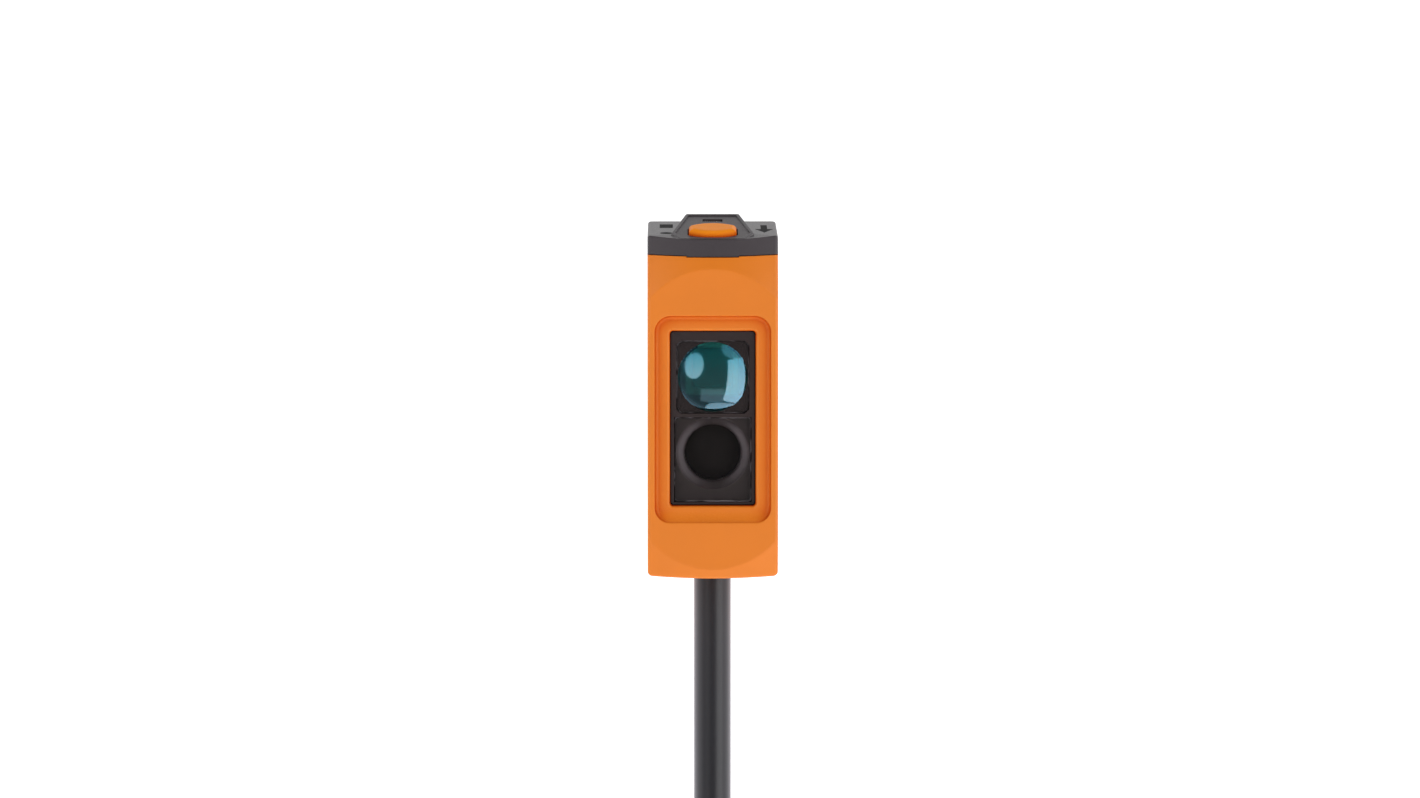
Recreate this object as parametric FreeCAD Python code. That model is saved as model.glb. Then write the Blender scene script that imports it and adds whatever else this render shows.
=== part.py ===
import FreeCAD, Part
import math
import os

# Photoelectric sensor: a flat plastic block with a receiver lens over an emitter window in its
# front face, a setting button and an indicator in its top cap, and a cable out of its foot.
# Millimetres. X runs across the width, Y from the optics in front to the back, Z up.
# The origin is midway between the two mounting holes, in the middle of the width.

V = FreeCAD.Vector
RIGHT = V(1, 0, 0)
BACKWARD = V(0, 1, 0)
UP = V(0, 0, 1)
SIDES = (-1, 1)

# ---- driving dimensions ---------------------------------------------------------------------

WIDTH = 12.9
DEPTH = 22.0
HOUSING_HEIGHT = 31.9
CAP_HEIGHT = 2.0
HOLE_SPACING = 25.4
HOLE_TO_BACK = 4.5
SCREW_HOLE_RADIUS = 1.6
CABLE_RADIUS = 1.85
CABLE_STUB = 24.0
BUTTON_TRAVEL = 0.25

HALF = WIDTH / 2
BACK = HOLE_TO_BACK
FRONT = BACK - DEPTH
SEAM = HOUSING_HEIGHT / 2
BOTTOM = -SEAM
TOP = SEAM + CAP_HEIGHT

# How far cutters overshoot, how far joined solids reach into each other, and how near an edge must lie
# to its place to be picked
MARGIN = 1.0
OVERLAP = 0.1
SINK = 0.2
PLACE_TOLERANCE = 0.02
FRAME_TOLERANCE = 0.05
SHORTEST_RUN = 0.1

# Housing shell
BOTTOM_BOW = 0.20
SEAM_BOW = 0.14
BOTTOM_CORNER = 0.5
REAR_CORNER = 0.6
FRONT_CORNER = 0.35
CREST_ROUNDING = 0.5
NOSE_RADIUS = 8.03
NOSE_CENTRE = -0.13
NOSE_SPREAD = 6.87
NOSE_GROWTH = 6.9
NOSE_DEPTH = 2.5
RECESS_HALF = 5.72
RECESS_LOW = -10.44
RECESS_HIGH = 10.12
RECESS_CORNER = 1.6
RECESS_DEPTH = 0.5
RECESS_COVE = 0.42
RECESS_RIM = 0.12
SCOOP_LENGTH = 1.35
OPENING_HALF = 4.22
OPENING_LOW = -8.72
OPENING_HIGH = 8.60
OPENING_CORNER = 0.3
OPENING_MOUTH = 0.3
CAVITY_HALF = 5.3
CAVITY_FRONT = -15.5
CAVITY_BACK = 1.9
CAVITY_FLOOR = BOTTOM + 1.2
BOSS_RADIUS = 2.55
SLEEVE_RADIUS = 2.0
SLEEVE_PLAY = 0.01
SLEEVE_RECESS = 0.05
SLEEVE_EDGE = 0.12
GASKET_WIDTH = 0.4
GASKET_LOW = 15.3
GASKET_HIGH = 15.8
GROOVE_MOUTH = 2.8
GROOVE_FLOOR = 3.6
GROOVE_DEPTH = 1.5
GROOVE_TOP = 10.0
PANEL_FRONT = -15.0
PANEL_BACK = -4.5
PANEL_REACH = 9.0
PANEL_BULGE = 2.0
PANEL_DEPTH = 0.2
SNAP_FRONT = -11.0
SNAP_BACK = -8.5
SNAP_LOW = 14.55
SNAP_HIGH = 15.05
SNAP_DEPTH = 0.25
SNAP_PLAY = 0.08
TAB_HALF = 2.55
TAB_DROP = 0.08
TAB_DEPTH = 1.2
TAB_PLAY = 0.05

# Cable way
CABLE_Y = -6.5
CABLE_BOSS_RADIUS = 4.0
CABLE_BOSS_TOP = -9.95
CABLE_BORE_RADIUS = 2.8
CABLE_BORE_FLOOR = -15.05
ENTRY_RADIUS = CABLE_RADIUS + 0.05

# Top cap
SEAM_GAP = 0.08
SEAM_REACH = 0.5
CAP_EDGE = 0.25
CAP_UNDERSIDE = TOP - 0.9
DISH_RADIUS = 60.0
DISH_DROP = 0.37
DISH_FRONT = -16.4
DISH_SLOPE = math.radians(4.2)
SKIRT_PLAY = 0.1
SKIRT_WALL = 0.8
SKIRT_FRONT = CAVITY_FRONT + SKIRT_PLAY
SKIRT_HALF = CAVITY_HALF - SKIRT_PLAY
SKIRT_BACK = -3.0
SKIRT_LOW = 14.4
RIB_HALF = 0.5
RIDGE_PLAY = 0.05
REAR_POCKET_FRONT = -2.2
REAR_POCKET_BACK = 1.2
HUMP_FRONT = -16.2
HUMP_WIDEST = -14.34
HUMP_CREST = -8.3
HUMP_BACK = -6.9
HUMP_FRONT_HALF = 3.2
HUMP_WIDEST_HALF = 4.08
HUMP_CREST_HALF = 2.67
HUMP_BACK_HALF = 2.3
HUMP_START = -0.25
HUMP_RISE = 0.237
HUMP_RIM = 0.35
HUMP_DISH = 0.12
HUMP_EDGE = 0.12

# Setting button, its seal and its switch
BUTTON_Y = -13.8
BUTTON_HALF = 2.36
BUTTON_SIDE_DEPTH = 1.65
BUTTON_MIDDLE_DEPTH = 3.35
BUTTON_PROUD = 0.46
BUTTON_EDGE = 0.58
BUTTON_RIM_DROP = 0.3
BUTTON_RIM_RISE = 2.0
BUTTON_PLAY = 0.12
BUTTON_BASE = 16.45
STEM_Y = -12.3
STEM_RADIUS = 1.0
STEM_END = 15.21
FLANGE_RADIUS = 3.05
FLANGE_TOP = 17.0
FLANGE_BACK = -10.75
FLANGE_PLAY = 0.15
POCKET_RELIEF = 0.05
CLAMP_INNER = 2.5
CLAMP_OUTER = 3.0
SEAL_INNER = 2.25
SEAL_WALL = 0.3
SEAL_TAPER = 0.1
SEAL_SHOULDER = 14.4
SEAL_CROWN_LOW = 14.9
SEAL_CROWN_HIGH = 15.2
SEAL_CROWN_RADIUS = 1.4
SEAL_FLANGE_TOP = 13.9
SWITCH_BOARD_LOW = 12.6
SWITCH_BOARD_HIGH = 13.4
SWITCH_BOARD_FRONT = -15.3
SWITCH_BOARD_BACK = -4.4
BOARD_HALF = 4.9
SWITCH_HALF = 1.5
SWITCH_TOP = 14.5
SWITCH_WELL_RADIUS = 1.25
SWITCH_WELL_LOW = 13.55
SWITCH_WELL_HIGH = 14.32
PLUNGER_RADIUS = 0.75
PLUNGER_FOOT_RADIUS = 1.05
PLUNGER_FOOT_LOW = 14.0
PLUNGER_FOOT_HIGH = 14.2
PLUNGER_TOP = 14.88
PLUNGER_PLAY = 0.05
DOME_RADIUS = 1.15
DOME_CROWN = 13.97
DOME_THICKNESS = 0.08
DOME_LIFT = 0.01

# Indicator
GUIDE_HALF = 0.95
GUIDE_Y = -10.0
GUIDE_THICKNESS = 0.75
GUIDE_PLAY = 0.04
GUIDE_SUNK = 0.25
GUIDE_BEND = 17.0
GUIDE_BEND_DROP = 0.1
GUIDE_END = 14.25
GUIDE_END_Y = -8.4
INDICATOR_HALF = 0.8
INDICATOR_DEPTH = 0.8
INDICATOR_HEIGHT = 0.6
INDICATOR_CHAMFER = 0.1

# Optics
RECEIVER_Z = 4.0
EMITTER_Z = -3.6
CARRIER_FRONT = -16.5
CARRIER_PLAY = 0.08
CARRIER_FLANGE_FRONT = -15.2
CARRIER_FLANGE_BACK = -14.2
CARRIER_FLANGE_HALF = 5.1
CARRIER_FLANGE_LOW = -10.0
CARRIER_FLANGE_HIGH = 9.9
CARRIER_BLOCK_HALF = 4.5
CARRIER_BLOCK_LOW = -7.8
CARRIER_BLOCK_HIGH = 8.3
CARRIER_BACK = -7.2
POST_OUTER = 4.8
POST_INNER = 3.7
POST_BACK = -13.0
LENS_FLANGE_HALF = 3.6
LENS_FLANGE_CHAMFER = 0.45
LENS_FLANGE_FRONT = -16.1
LENS_SEAT = -15.1
LENS_PLAY = 0.02
LENS_RADIUS = 3.45
LENS_BULGE = 0.95
LENS_REAR_BULGE = 0.55
LENS_REAR_RADIUS = 3.0
FUNNEL_HALF = 3.3
FUNNEL_END_HALF = 1.5
FUNNEL_END = -8.2
WINDOW_HALF = 3.82
WINDOW_LOW = -8.40
WINDOW_HIGH = 0.0
WINDOW_FRONT = -16.2
WINDOW_SEAT = -15.5
CONE_RADIUS = 3.6
TUBE_RADIUS = 2.78
CONE_BACK = -14.4
EMITTER_LENS_RADIUS = 2.7
EMITTER_LENS_FRONT = -13.6
EMITTER_LENS_RIM = -13.0
EMITTER_LENS_BACK = -12.0
EMITTER_LENS_GAP = 0.2
EMITTER_REAR_RADIUS = 2.2
LENS_GASKET_INSET = 0.15

# Boards and what they carry
OPTICS_BOARD_FRONT = -7.1
OPTICS_BOARD_BACK = -6.3
OPTICS_BOARD_LOW = -5.9
OPTICS_BOARD_HIGH = 8.25
DIODE_HALF_WIDTH = 2.0
DIODE_HALF_HEIGHT = 1.7
DIODE_THICKNESS = 0.8
DIODE_AIR = 0.1
DIODE_CHAMFER = 0.15
DIE_HALF = 1.1
DIE_THICKNESS = 0.2
EMITTER_HALF_WIDTH = 1.6
EMITTER_HALF_HEIGHT = 1.4
EMITTER_THICKNESS = 0.9
EMITTER_DOME_RADIUS = 1.2
EMITTER_DOME_BULGE = 0.96
SHIELD_HALF = 3.0
SHIELD_LOW = 0.6
SHIELD_HIGH = 6.2
SHIELD_DEPTH = 0.9
SHIELD_WALL = 0.15
MAIN_BOARD_FRONT = -4.1
MAIN_BOARD_BACK = -3.3
MAIN_BOARD_LOW = -9.3
MAIN_BOARD_HIGH = 12.4
HEADER_Z = 7.4
HEADER_HALF_WIDTH = 4.0
HEADER_HALF_HEIGHT = 0.6
PIN_COUNT = 6
PIN_PITCH = 1.27
PIN_HALF = 0.2
PIN_PROUD = 0.35
PIN_NOSE = 0.05
FLEX_HALF = 2.0
FLEX_THICKNESS = 0.1
FLEX_LOW = 9.5
FLEX_FRONT = -8.0
CHIP_HALF = 2.4
CHIP_THICKNESS = 0.8
CHIP_Z = 2.8
DRIVER_Z = -6.2
DRIVER_HALF_WIDTH = 3.2
DRIVER_HALF_HEIGHT = 1.75
DRIVER_THICKNESS = 1.5
DRIVER_CHAMFER = 0.2
CAPACITOR_Z = 4.4
CAPACITOR_HALF_WIDTH = 3.6
CAPACITOR_HALF_HEIGHT = 2.15
CAPACITOR_THICKNESS = 2.6
CAPACITOR_CHAMFER = 0.15
SURGE_Z = -1.2
SURGE_HALF_WIDTH = 2.3
SURGE_HALF_HEIGHT = 1.3
SURGE_THICKNESS = 2.0
SURGE_CHAMFER = 0.25
SMALL_HALF_WIDTH = 0.8
SMALL_HALF_HEIGHT = 0.4
CERAMIC_THICKNESS = 0.8
RESISTOR_THICKNESS = 0.45

# Cable
CABLE_TOP = -9.0
CABLE_END = BOTTOM - CABLE_STUB
JACKET_INNER = 1.25
SQUEEZED_RADIUS = 1.78
CORE_RADIUS = 0.5
CONDUCTOR_RADIUS = 0.25
CORE_OFFSET = 0.52
TIP_END = CABLE_END - 5.0
TIP_BARE = 1.8
TIP_SPREAD = 1.3
TIP_SWING = 0.5
TIP_SWING_DROP = 0.6
TIP_EASE = 0.3
BEND_EASE_IN = 0.2
BEND_LEAN = 0.3
BEND_TURN = 0.4
BEND_EASE_OUT = 0.3
PAD_PITCH = 2.0
PAD_Z = -2.0
CORE_RUN_Y = -4.75
CORE_LANDING = -4.6
CORE_STRIP = 0.9
SOLDER_RADIUS = 0.62
SOLDER_RISE = 0.35
SEAL_RING_TOP = -10.9
RING_PLAY = 0.02
RING_GROOVE_START = 0.35
RING_GROOVE_DEPTH = 0.3
CABLE_GRIP_PLAY = 0.005
CLAMP_RING_LOW = -10.8
CLAMP_RING_HIGH = -9.4
CLAMP_RING_RADIUS = 2.7


# ---- shapes used again and again --------------------------------------------------------------


def block(x, y, z):
    """Square block between pairs of limits."""
    size = (x[1] - x[0], y[1] - y[0], z[1] - z[0])
    return Part.makeBox(*size, V(x[0], y[0], z[0]))


def slab(half, y, z):
    """Block that is centred on the width."""
    return block((-half, half), y, z)


def upright(radius, y, z):
    """Round bar in the middle plane that stands on end."""
    return Part.makeCylinder(radius, z[1] - z[0], V(0, y, z[0]), UP)


def lengthwise(radius, z, y):
    """Round bar in the middle plane that runs from front to back."""
    return Part.makeCylinder(radius, y[1] - y[0], V(0, y[0], z), BACKWARD)


def crosswise(radius, y, z, reach):
    """Round bar across the width."""
    return Part.makeCylinder(radius, 2 * reach, V(-reach, y, z), RIGHT)


def outline(start, *steps):
    """Face in a closed outline. A step is a corner, or a pair: a point on an arc and its end."""
    edges = []
    here = start
    for step in steps:
        if isinstance(step, tuple):
            passed, there = step
            edges.append(Part.Arc(here, passed, there).toShape())
        else:
            there = step
            edges.append(Part.LineSegment(here, there).toShape())
        here = there
    return Part.Face(Part.Wire(edges))


def edges_where(shape, wanted):
    """Edges whose bounding box passes a test."""
    return [edge for edge in shape.Edges if wanted(edge.BoundBox)]


def near(value, target):
    return abs(value - target) < PLACE_TOLERANCE


def lies_at_depth(depth):
    """Test for edges that lie in one plane across the depth."""
    return lambda box: near(box.YMin, depth) and near(box.YMax, depth)


def lies_on_front_corner(box):
    """Test for the edges where the front and its cones meet a side wall."""
    on_side = near(box.XLength, 0) and near(abs(box.XMin), HALF)
    return on_side and box.YMax < FRONT + NOSE_DEPTH and box.ZLength > 1


def runs_lengthwise(box):
    """Test for edges that run straight from front to back."""
    return near(box.XLength, 0) and near(box.ZLength, 0) and box.YLength > SHORTEST_RUN


def in_front_frame(depth, half, low, high):
    """Test for edges that lie in a plane across the depth and within a frame's limits."""

    def inside(box):
        in_width = box.XMin > -half - FRAME_TOLERANCE and box.XMax < half + FRAME_TOLERANCE
        in_height = box.ZMin > low - FRAME_TOLERANCE and box.ZMax < high + FRAME_TOLERANCE
        return lies_at_depth(depth)(box) and in_width and in_height

    return inside


def rounded_slab(half, y, z, corner):
    """Plate across the depth, with round corners in the front view."""
    plate = slab(half, y, z)
    return plate.makeFillet(corner, edges_where(plate, runs_lengthwise))


def bezier(*poles):
    """Smooth edge from the first pole to the last, led by those between."""
    curve = Part.BezierCurve()
    curve.setPoles(list(poles))
    return curve.toShape()


def bar_along(edges, radius):
    """Round bar along a path of edges that starts straight up."""
    start = edges[0].valueAt(edges[0].FirstParameter)
    direction = edges[0].tangentAt(edges[0].FirstParameter)
    ring = Part.Wire(Part.makeCircle(radius, start, direction))
    return Part.Wire(edges).makePipeShell([ring], True, True)


def turned(profile):
    """Solid of revolution about the vertical axis through the profile's own zero X."""
    start = V(0, profile.CenterOfMass.y, 0)
    return profile.revolve(start, UP, 360)


def across_edge(start, end, sag):
    """Edge across the width whose middle hangs lower than its ends."""
    if sag == 0:
        return Part.LineSegment(start, end).toShape()
    middle = (start + end) / 2 - UP * sag
    return Part.Arc(start, middle, end).toShape()


def body_block(low, low_bow, high, high_bow):
    """Full-depth block of the body's width; a bow lifts an edge's two ends over its middle."""
    low_left = V(-HALF, FRONT, low + low_bow)
    low_right = V(HALF, FRONT, low + low_bow)
    high_left = V(-HALF, FRONT, high + high_bow)
    high_right = V(HALF, FRONT, high + high_bow)
    edges = [
        across_edge(low_left, low_right, low_bow),
        Part.LineSegment(low_right, high_right).toShape(),
        across_edge(high_right, high_left, high_bow),
        Part.LineSegment(high_left, low_left).toShape(),
    ]
    return Part.Face(Part.Wire(edges)).extrude(BACKWARD * DEPTH)


def nose_envelope():
    """All that lies behind the front face and behind the two cones that fall back from it."""
    middle = (NOSE_CENTRE - NOSE_SPREAD, NOSE_CENTRE + NOSE_SPREAD)
    envelope = slab(HALF + MARGIN, (FRONT, FRONT + NOSE_DEPTH), middle)
    for centre in middle:
        end_radius = NOSE_RADIUS + NOSE_GROWTH
        cone = Part.makeCone(NOSE_RADIUS, end_radius, NOSE_DEPTH, V(0, FRONT, centre), BACKWARD)
        envelope = envelope.fuse(cone)
    whole_height = (BOTTOM - MARGIN, TOP + 3 * MARGIN)
    rest = slab(HALF + MARGIN, (FRONT + NOSE_DEPTH, BACK + MARGIN), whole_height)
    return envelope.fuse(rest).removeSplitter()


# ---- housing ------------------------------------------------------------------------------------


def front_recess():
    """Cutter for the shallow recess around the optics: coved sides and a long scoop at the foot."""
    floor = FRONT + RECESS_DEPTH
    depth = (FRONT - MARGIN, floor)
    cutter = rounded_slab(RECESS_HALF, depth, (RECESS_LOW, RECESS_HIGH), RECESS_CORNER)
    scoop_radius = (SCOOP_LENGTH**2 + RECESS_DEPTH**2) / (2 * RECESS_DEPTH)
    scoop_top = RECESS_LOW + SCOOP_LENGTH
    reach = crosswise(scoop_radius, floor - scoop_radius, scoop_top, HALF)
    reach = reach.fuse(slab(HALF, depth, (scoop_top, RECESS_HIGH)))
    cutter = cutter.common(reach).removeSplitter()
    floor_edges = edges_where(cutter, lambda box: box.YMin > FRONT - MARGIN and box.YMax > FRONT)
    return cutter.makeFillet(RECESS_COVE, floor_edges)


def front_opening():
    """Cutter for the opening that shows the optics."""
    depth = (FRONT - MARGIN, CAVITY_FRONT + MARGIN)
    return rounded_slab(OPENING_HALF, depth, (OPENING_LOW, OPENING_HIGH), OPENING_CORNER)


def snap_block(side, play):
    """Snap nub on the cap's skirt, or with play its pocket in the housing wall."""
    inner = SKIRT_HALF - SNAP_DEPTH
    x = sorted((side * inner, side * (CAVITY_HALF + SNAP_DEPTH - SNAP_PLAY + play)))
    return block(x, (SNAP_FRONT - play, SNAP_BACK + play), (SNAP_LOW - play, SNAP_HIGH + play))


def side_panel(side):
    """Cutter for the shallow label field on one side wall, with bowed ends."""
    outer = side * (HALF + MARGIN)
    middle = (PANEL_FRONT + PANEL_BACK) / 2
    bulge = PANEL_REACH + PANEL_BULGE
    field = outline(
        V(outer, PANEL_FRONT, -PANEL_REACH),
        (V(outer, middle, -bulge), V(outer, PANEL_BACK, -PANEL_REACH)),
        V(outer, PANEL_BACK, PANEL_REACH),
        (V(outer, middle, bulge), V(outer, PANEL_FRONT, PANEL_REACH)),
        V(outer, PANEL_FRONT, -PANEL_REACH),
    )
    return field.extrude(RIGHT * -side * (MARGIN + PANEL_DEPTH))


def dovetail_groove():
    """Cutter for the dovetail in the back that a clamp slides into from below."""
    low = BOTTOM - MARGIN
    floor = BACK - GROOVE_DEPTH
    field = outline(
        V(-GROOVE_FLOOR, floor, low),
        V(GROOVE_FLOOR, floor, low),
        V(GROOVE_MOUTH, BACK, low),
        V(GROOVE_MOUTH, BACK + MARGIN, low),
        V(-GROOVE_MOUTH, BACK + MARGIN, low),
        V(-GROOVE_MOUTH, BACK, low),
        V(-GROOVE_FLOOR, floor, low),
    )
    return field.extrude(UP * (GROOVE_TOP - low))


def cavity():
    """Cutter for the inside, open at the top, with the rebate that seats the cap gasket."""
    depth = (CAVITY_FRONT, CAVITY_BACK)
    inside = slab(CAVITY_HALF, depth, (CAVITY_FLOOR, TOP))
    rebate_depth = (CAVITY_FRONT - GASKET_WIDTH, CAVITY_BACK + GASKET_WIDTH)
    rebate = slab(CAVITY_HALF + GASKET_WIDTH, rebate_depth, (GASKET_LOW, TOP))
    return inside.fuse(rebate)


def outer_housing():
    """Outside form before anything is cut from it."""
    body = body_block(BOTTOM, BOTTOM_BOW, SEAM, SEAM_BOW)
    foot_edges = edges_where(body, lambda box: runs_lengthwise(box) and box.ZMax < 0)
    body = body.makeFillet(BOTTOM_CORNER, foot_edges)
    rear_edges = edges_where(
        body, lambda box: lies_at_depth(BACK)(box) and near(box.XLength, 0) and box.ZLength > 1
    )
    body = body.makeFillet(REAR_CORNER, rear_edges)
    body = body.common(nose_envelope())
    crests = edges_where(body, lambda box: lies_at_depth(FRONT)(box) and box.XLength > 1)
    body = body.makeFillet(CREST_ROUNDING, crests)
    return body.makeFillet(FRONT_CORNER, edges_where(body, lies_on_front_corner))


def housing():
    """Moulded housing with its cable boss and the two cross bosses for the sleeves."""
    shell = outer_housing().cut(cavity())
    for z in (-HOLE_SPACING / 2, HOLE_SPACING / 2):
        shell = shell.fuse(crosswise(BOSS_RADIUS, 0, z, HALF - MARGIN / 2))
    shell = shell.fuse(upright(CABLE_BOSS_RADIUS, CABLE_Y, (CAVITY_FLOOR - SINK, CABLE_BOSS_TOP)))
    shell = shell.removeSplitter()
    shell = shell.cut(front_recess())
    rim = edges_where(shell, in_front_frame(FRONT, RECESS_HALF, RECESS_LOW, RECESS_HIGH))
    shell = shell.makeFillet(RECESS_RIM, rim)
    shell = shell.cut(front_opening())
    floor = FRONT + RECESS_DEPTH
    mouth = edges_where(shell, in_front_frame(floor, OPENING_HALF, OPENING_LOW, OPENING_HIGH))
    shell = shell.makeFillet(OPENING_MOUTH, mouth)
    for z in (-HOLE_SPACING / 2, HOLE_SPACING / 2):
        shell = shell.cut(crosswise(SLEEVE_RADIUS + SLEEVE_PLAY, 0, z, HALF + MARGIN))
    shell = shell.cut(upright(CABLE_BORE_RADIUS, CABLE_Y, (CABLE_BORE_FLOOR, CABLE_BOSS_TOP + 1)))
    shell = shell.cut(upright(ENTRY_RADIUS, CABLE_Y, (BOTTOM - MARGIN, CABLE_BORE_FLOOR + OVERLAP)))
    shell = shell.cut(dovetail_groove())
    for side in SIDES:
        shell = shell.cut(side_panel(side))
        shell = shell.cut(snap_block(side, SNAP_PLAY))
    notch_low = SEAM - TAB_DROP
    notch = slab(TAB_HALF + TAB_PLAY, (FRONT, FRONT + TAB_DEPTH), (notch_low, TOP))
    return shell.cut(notch)


def cap_gasket():
    """Rubber ring between the housing and the cap."""
    half = CAVITY_HALF + GASKET_WIDTH
    depth = (CAVITY_FRONT - GASKET_WIDTH, CAVITY_BACK + GASKET_WIDTH)
    height = (GASKET_LOW, GASKET_HIGH)
    return slab(half, depth, height).cut(slab(CAVITY_HALF, (CAVITY_FRONT, CAVITY_BACK), height))


# ---- top cap ------------------------------------------------------------------------------------


def ramp_height(y):
    """Height of the hump's ramp over the depth."""
    return TOP + HUMP_START + HUMP_RISE * (y - HUMP_FRONT)


def hump_plan(inset):
    """Plan of the hump, drawn in by an inset."""
    corners = (
        (HUMP_FRONT_HALF, HUMP_FRONT + inset),
        (HUMP_WIDEST_HALF, HUMP_WIDEST),
        (HUMP_CREST_HALF, HUMP_CREST - inset / 2),
        (HUMP_BACK_HALF, HUMP_BACK),
    )
    right = [V(half - inset, y, TOP - MARGIN) for half, y in corners]
    left = [V(-point.x, point.y, point.z) for point in reversed(right)]
    return Part.Face(Part.makePolygon(right + left + [right[0]]))


def hump_side():
    """Side form of the hump: a long ramp up to the crest and a short fall behind it."""
    x = -HUMP_WIDEST_HALF - MARGIN
    low = TOP - MARGIN
    start = HUMP_FRONT - MARGIN
    side = outline(
        V(x, start, low),
        V(x, start, ramp_height(start)),
        V(x, HUMP_CREST, ramp_height(HUMP_CREST)),
        V(x, HUMP_BACK, TOP),
        V(x, HUMP_BACK, low),
        V(x, start, low),
    )
    return side.extrude(RIGHT * -2 * x)


def hump():
    """Raised guard around the button, with a thin rim around its shallow inside."""
    solid = hump_plan(0).extrude(UP * 4).common(hump_side())
    top_edges = edges_where(solid, lambda box: box.ZMax > TOP + HUMP_EDGE and box.YLength > HUMP_EDGE)
    solid = solid.makeFillet(HUMP_EDGE, top_edges)
    hollow = hump_plan(HUMP_RIM).extrude(UP * 4)
    below_ramp = hump_side()
    below_ramp.translate(UP * -HUMP_DISH)
    crest_stop = block(
        (-WIDTH, WIDTH), (HUMP_CREST - HUMP_RIM, BACK), (TOP - MARGIN, TOP + 4)
    )
    return solid.cut(hollow.cut(below_ramp).cut(crest_stop))


def cap_dish():
    """Cutter that hollows the cap's top towards the front edge."""
    axis = V(0, math.cos(DISH_SLOPE), math.sin(DISH_SLOPE))
    lowest = V(0, DISH_FRONT, TOP - DISH_DROP)
    centre = lowest + V(0, -math.sin(DISH_SLOPE), math.cos(DISH_SLOPE)) * DISH_RADIUS
    return Part.makeCylinder(DISH_RADIUS, 2 * DEPTH, centre - axis * DEPTH, axis)


def button_plan(grow, z):
    """Plan of the button: straight sides between two arcs, drawn out by a margin."""
    half = BUTTON_HALF + grow
    side = BUTTON_SIDE_DEPTH / 2 + grow
    middle = BUTTON_MIDDLE_DEPTH / 2 + grow
    return outline(
        V(-half, BUTTON_Y - side, z),
        (V(0, BUTTON_Y - middle, z), V(half, BUTTON_Y - side, z)),
        V(half, BUTTON_Y + side, z),
        (V(0, BUTTON_Y + middle, z), V(-half, BUTTON_Y + side, z)),
        V(-half, BUTTON_Y - side, z),
    )


def button_flange(play):
    """Collar that keeps the button in the cap, or with play its pocket."""
    collar = upright(FLANGE_RADIUS + play, STEM_Y, (BUTTON_BASE, FLANGE_TOP))
    behind = block((-WIDTH, WIDTH), (FLANGE_BACK + play, BACK), (BUTTON_BASE, FLANGE_TOP))
    return collar.cut(behind)


def guide_solid(play):
    """Bent light guide from the slot in the hump down to the indicator, or with play its way."""
    x = -GUIDE_HALF - play
    reach = GUIDE_THICKNESS / 2 + play
    top = ramp_height(GUIDE_Y) + MARGIN
    section = outline(
        V(x, GUIDE_Y - reach, top),
        V(x, GUIDE_Y + reach, top),
        V(x, GUIDE_Y + reach, GUIDE_BEND),
        V(x, GUIDE_END_Y + reach, GUIDE_END - play),
        V(x, GUIDE_END_Y - reach, GUIDE_END - play),
        V(x, GUIDE_Y - reach, GUIDE_BEND - GUIDE_BEND_DROP),
        V(x, GUIDE_Y - reach, top),
    )
    return section.extrude(RIGHT * -2 * x)


def skirt():
    """Wall under the cap that locates it inside the housing, with the seal clamp on two ribs."""
    height = (SKIRT_LOW, CAP_UNDERSIDE)
    ring = slab(SKIRT_HALF, (SKIRT_FRONT, SKIRT_BACK), height)
    inner_half = SKIRT_HALF - SKIRT_WALL
    ring = ring.cut(slab(inner_half, (SKIRT_FRONT + SKIRT_WALL, SKIRT_BACK - SKIRT_WALL), height))
    clamp_height = (SEAL_FLANGE_TOP, CAP_UNDERSIDE)
    clamp = upright(CLAMP_OUTER, STEM_Y, clamp_height)
    rib_low = SKIRT_LOW
    ribs = slab(inner_half + SINK, (STEM_Y - RIB_HALF, STEM_Y + RIB_HALF), (rib_low, CAP_UNDERSIDE))
    bore = upright(CLAMP_INNER, STEM_Y, clamp_height)
    skirt_solid = ring.fuse(clamp).fuse(ribs).cut(bore)
    for side in SIDES:
        skirt_solid = skirt_solid.fuse(snap_block(side, 0))
    return skirt_solid


def cap_plate():
    """Plate of the cap: the body's outline, hollowed on top and underneath."""
    plate = body_block(SEAM + SEAM_GAP, SEAM_BOW, TOP, 0)
    tab = slab(TAB_HALF, (FRONT, FRONT + TAB_DEPTH), (SEAM + SEAM_GAP - TAB_DROP, SEAM + SEAM_REACH))
    plate = plate.fuse(tab).removeSplitter()
    rear_edges = edges_where(
        plate, lambda box: lies_at_depth(BACK)(box) and near(box.XLength, 0) and box.ZLength > 1
    )
    plate = plate.makeFillet(REAR_CORNER, rear_edges)
    plate = plate.common(nose_envelope())
    plate = plate.makeFillet(FRONT_CORNER, edges_where(plate, lies_on_front_corner))
    top_edges = edges_where(plate, lambda box: near(box.ZMin, TOP) and near(box.ZMax, TOP))
    return plate.makeFillet(CAP_EDGE, top_edges).cut(cap_dish())


def cap_pockets():
    """Cutter for the two hollows under the cap's plate."""
    inner_half = SKIRT_HALF - SKIRT_WALL
    low = SEAM - MARGIN
    front = (SKIRT_FRONT + SKIRT_WALL, SKIRT_BACK - SKIRT_WALL)
    rear = (REAR_POCKET_FRONT, REAR_POCKET_BACK)
    pocket = slab(inner_half, front, (low, CAP_UNDERSIDE))
    return pocket.fuse(slab(inner_half, rear, (low, CAP_UNDERSIDE)))


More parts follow.
